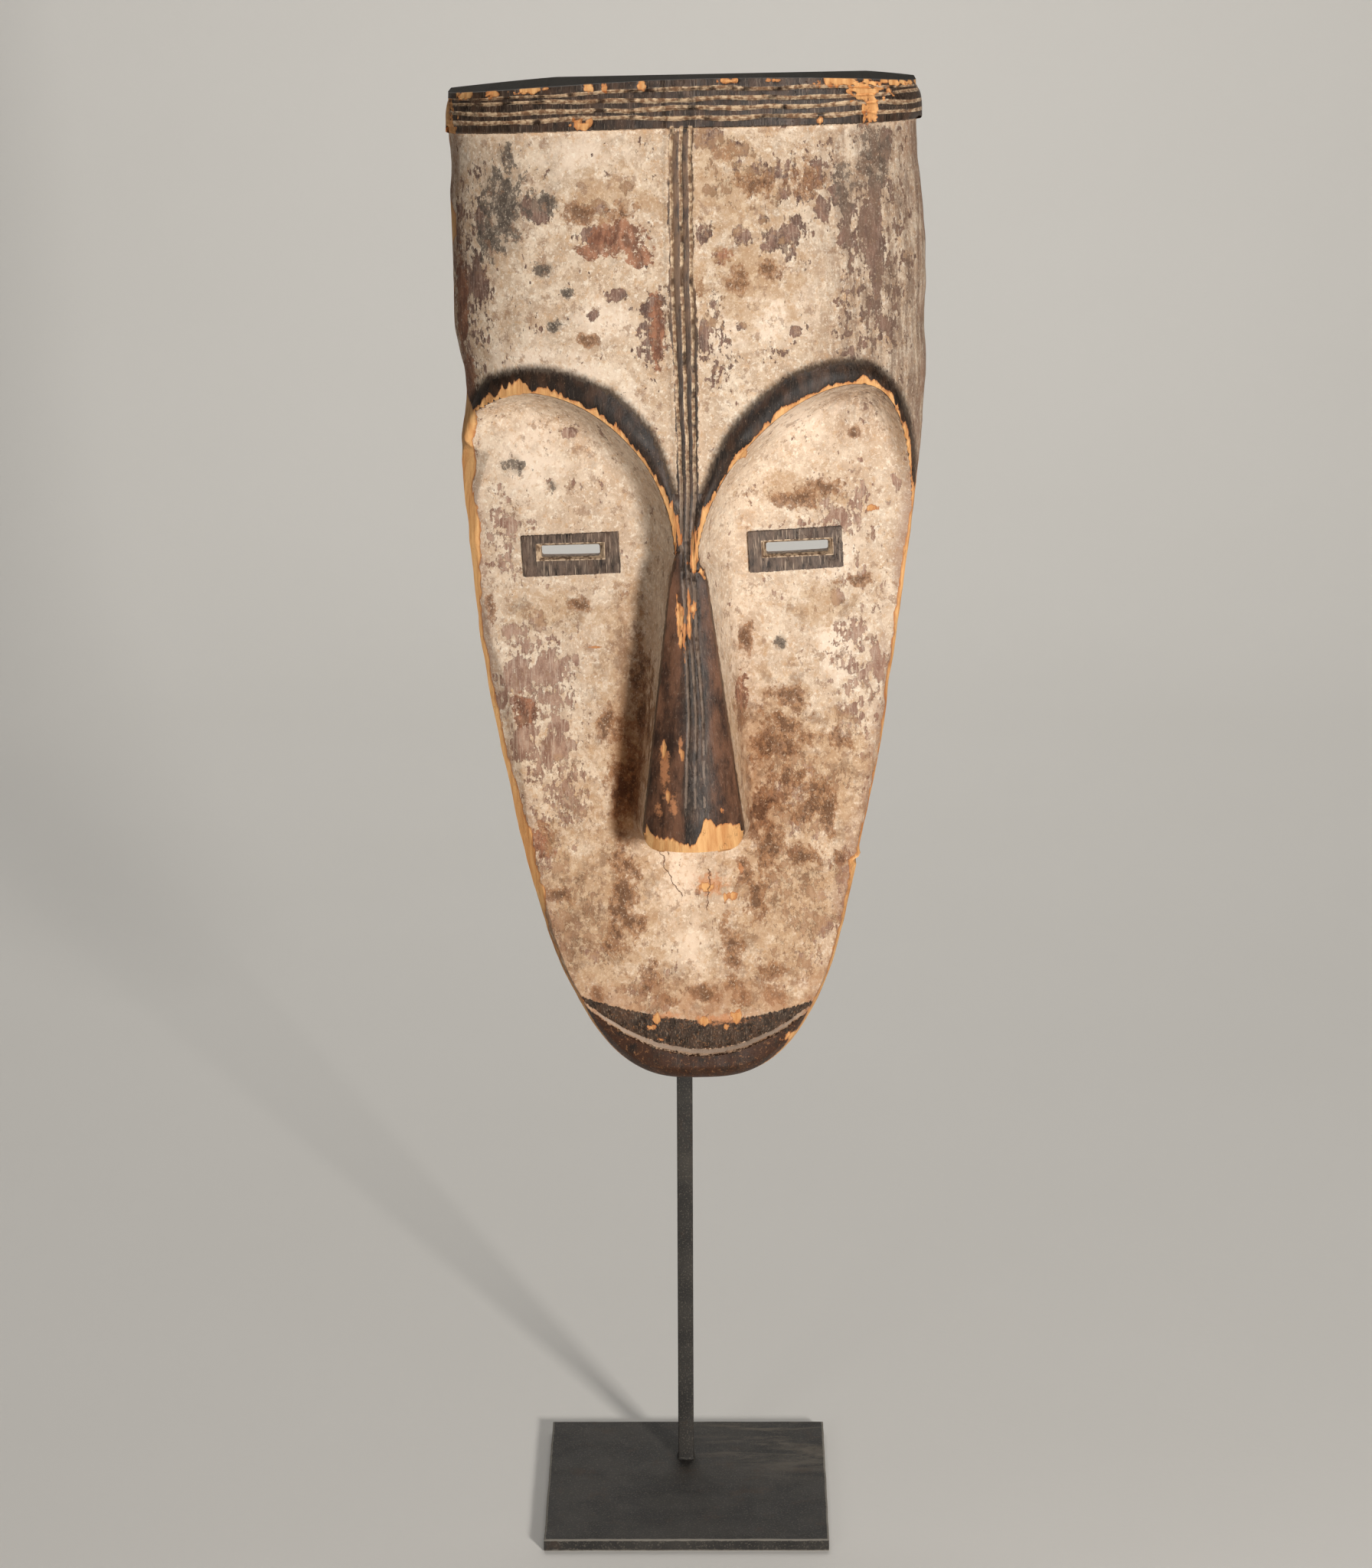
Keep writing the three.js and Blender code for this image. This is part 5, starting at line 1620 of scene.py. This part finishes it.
def make_rod(material):
    """The upright bar with eased corners. Its foot spreads into a weld and its top meets the crossbar."""
    low, high = box_of("stand_rod")
    corners = corners_of("stand_rod") / MM
    top = corners[corners[:, 2] > high[2] / 2]
    slope = np.linalg.lstsq(np.c_[top[:, :2], np.ones(len(top))], top[:, 2], rcond=None)[0]
    centre = (low + high) / 2
    half = (high[0] - low[0]) / 2
    rings = []
    for rise in [*WELD_RINGS, *np.linspace(WELD_HEIGHT, high[2] - low[2] - BAR_EASE, ROD_STEPS)]:
        spread = WELD_SPREAD * max(0, 1 - rise / WELD_HEIGHT) ** 2
        ring = rounded_square(half + spread, BAR_EASE + spread) + centre[:2]
        rings.append(np.c_[ring, np.full(len(ring), low[2] + rise)])
    rings[-1][:, 2] = ring @ slope[:2] + slope[2]
    return loft("upright_rod", rings, material)


def make_crossbar(material):
    """The level bar inside the mask that its top wall hangs on."""
    u, w, p = to_mask_frame(corners_of("stand_crossbar"))
    ring = rounded_square(np.ptp(w) / 2, BAR_EASE)
    middle_w, middle_p = (w.max() + w.min()) / 2, (p.max() + p.min()) / 2
    rings = []
    for at in np.linspace(u.min(), u.max(), CROSSBAR_STEPS):
        local = np.c_[np.full(len(ring), at), middle_w + ring[:, 1], middle_p - ring[:, 0]]
        rings.append(to_row_frame(local) / MM)
    return loft("top_crossbar", rings, material)


# Studio


def make_room():
    """A pale floor that sweeps up into a backdrop."""
    net = Net("studio_paper")
    net.where = net.node("ShaderNodeTexCoord").outputs["Object"]
    paper = net.blend((226, 223, 217), (232, 229, 224), net.noise(0.6))
    profile = [(FLOOR_FRONT, 0), (FLOOR_BACK, 0)]
    for angle in np.linspace(0, math.pi / 2, SWEEP_STEPS + 1)[1:]:
        profile.append((FLOOR_BACK + SWEEP_RADIUS * math.sin(angle), SWEEP_RADIUS * (1 - math.cos(angle))))
    profile.append((profile[-1][0], BACKDROP_TOP))
    points = [(side * FLOOR_HALF_WIDTH, y, z) for y, z in profile for side in (-1, 1)]
    faces = [[2 * k, 2 * k + 1, 2 * k + 3, 2 * k + 2] for k in range(len(profile) - 1)]
    mesh = bpy.data.meshes.new("studio_sweep")
    mesh.from_pydata(points, [], faces)
    mesh.shade_smooth()
    grain = net.noise(0.004, 1, 2)
    mesh.materials.append(net.finish(paper, 0.9, grain, depth=0.0001, specular=0.2))
    place_object("studio_sweep", mesh)


def before_face(azimuth, elevation, distance):
    """A place seen from the face at an angle to the viewer's right and above the horizon, in degrees."""
    across, up = math.radians(azimuth), math.radians(elevation)
    toward = Vector((math.sin(across) * math.cos(up), -math.cos(across) * math.cos(up), math.sin(up)))
    return FACE + toward * distance


def make_lamp(name, place, aim, size, power, colour):
    """A square soft lamp at a place, turned towards another."""
    lamp = bpy.data.lights.new(name, "AREA")
    lamp.size = size
    lamp.energy = power
    lamp.color = colour
    obj = place_object(name, lamp)
    obj.location = place
    obj.rotation_mode = "QUATERNION"
    obj.rotation_quaternion = (Vector(place) - Vector(aim)).to_track_quat("Z", "Y")


def make_light():
    key, fill = before_face(24, 7, LAMP_DISTANCE), before_face(-27, 10, LAMP_DISTANCE)
    make_lamp("key", key, FACE, size=0.34, power=94, colour=(1, 0.97, 0.93))
    make_lamp("fill", fill, FACE, size=0.8, power=10, colour=(1, 0.97, 0.94))
    make_lamp("overhead", (0, 1.9, 2.8), (0, 1.3, 0), size=2, power=34, colour=(1, 0.99, 0.97))
    world = bpy.data.worlds.new("studio_air")
    world.use_nodes = True
    air = world.node_tree.nodes["Background"]
    air.inputs["Color"].default_value = (0.95, 0.97, 1, 1)
    air.inputs["Strength"].default_value = 0.04
    bpy.context.scene.world = world
    bpy.context.scene.view_settings.view_transform = "Standard"


def make_camera():
    lens = bpy.data.cameras.new("camera")
    lens.lens = CAMERA_LENS
    lens.sensor_width = CAMERA_SENSOR
    lens.clip_end = CAMERA_REACH
    camera = place_object("camera", lens)
    camera.location = CAMERA_PLACE
    turns = ((-CAMERA_YAW, "Z"), (90 - CAMERA_PITCH, "X"), (-CAMERA_ROLL, "Z"))
    yaw, pitch, roll = (Matrix.Rotation(math.radians(angle), 3, axis) for angle, axis in turns)
    camera.rotation_mode = "QUATERNION"
    camera.rotation_quaternion = (yaw @ pitch @ roll).to_quaternion()
    bpy.context.scene.camera = camera


mask = make_mask()
mask.data.name = "carved_mask"
mask.data.shade_smooth()
mask.data.set_sharp_from_angle(angle=SHARP_ANGLE)
paint(mask.data)
mask.data.materials.clear()
mask.data.materials.append(mask_material())
steel = steel_material()
replaced = {
    "mask": mask,
    "stand_plate": make_plate(steel),
    "stand_rod": make_rod(steel),
    "stand_crossbar": make_crossbar(steel),
}
for node, piece in replaced.items():
    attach(piece, "root")
    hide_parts(node)

make_room()
make_light()
make_camera()
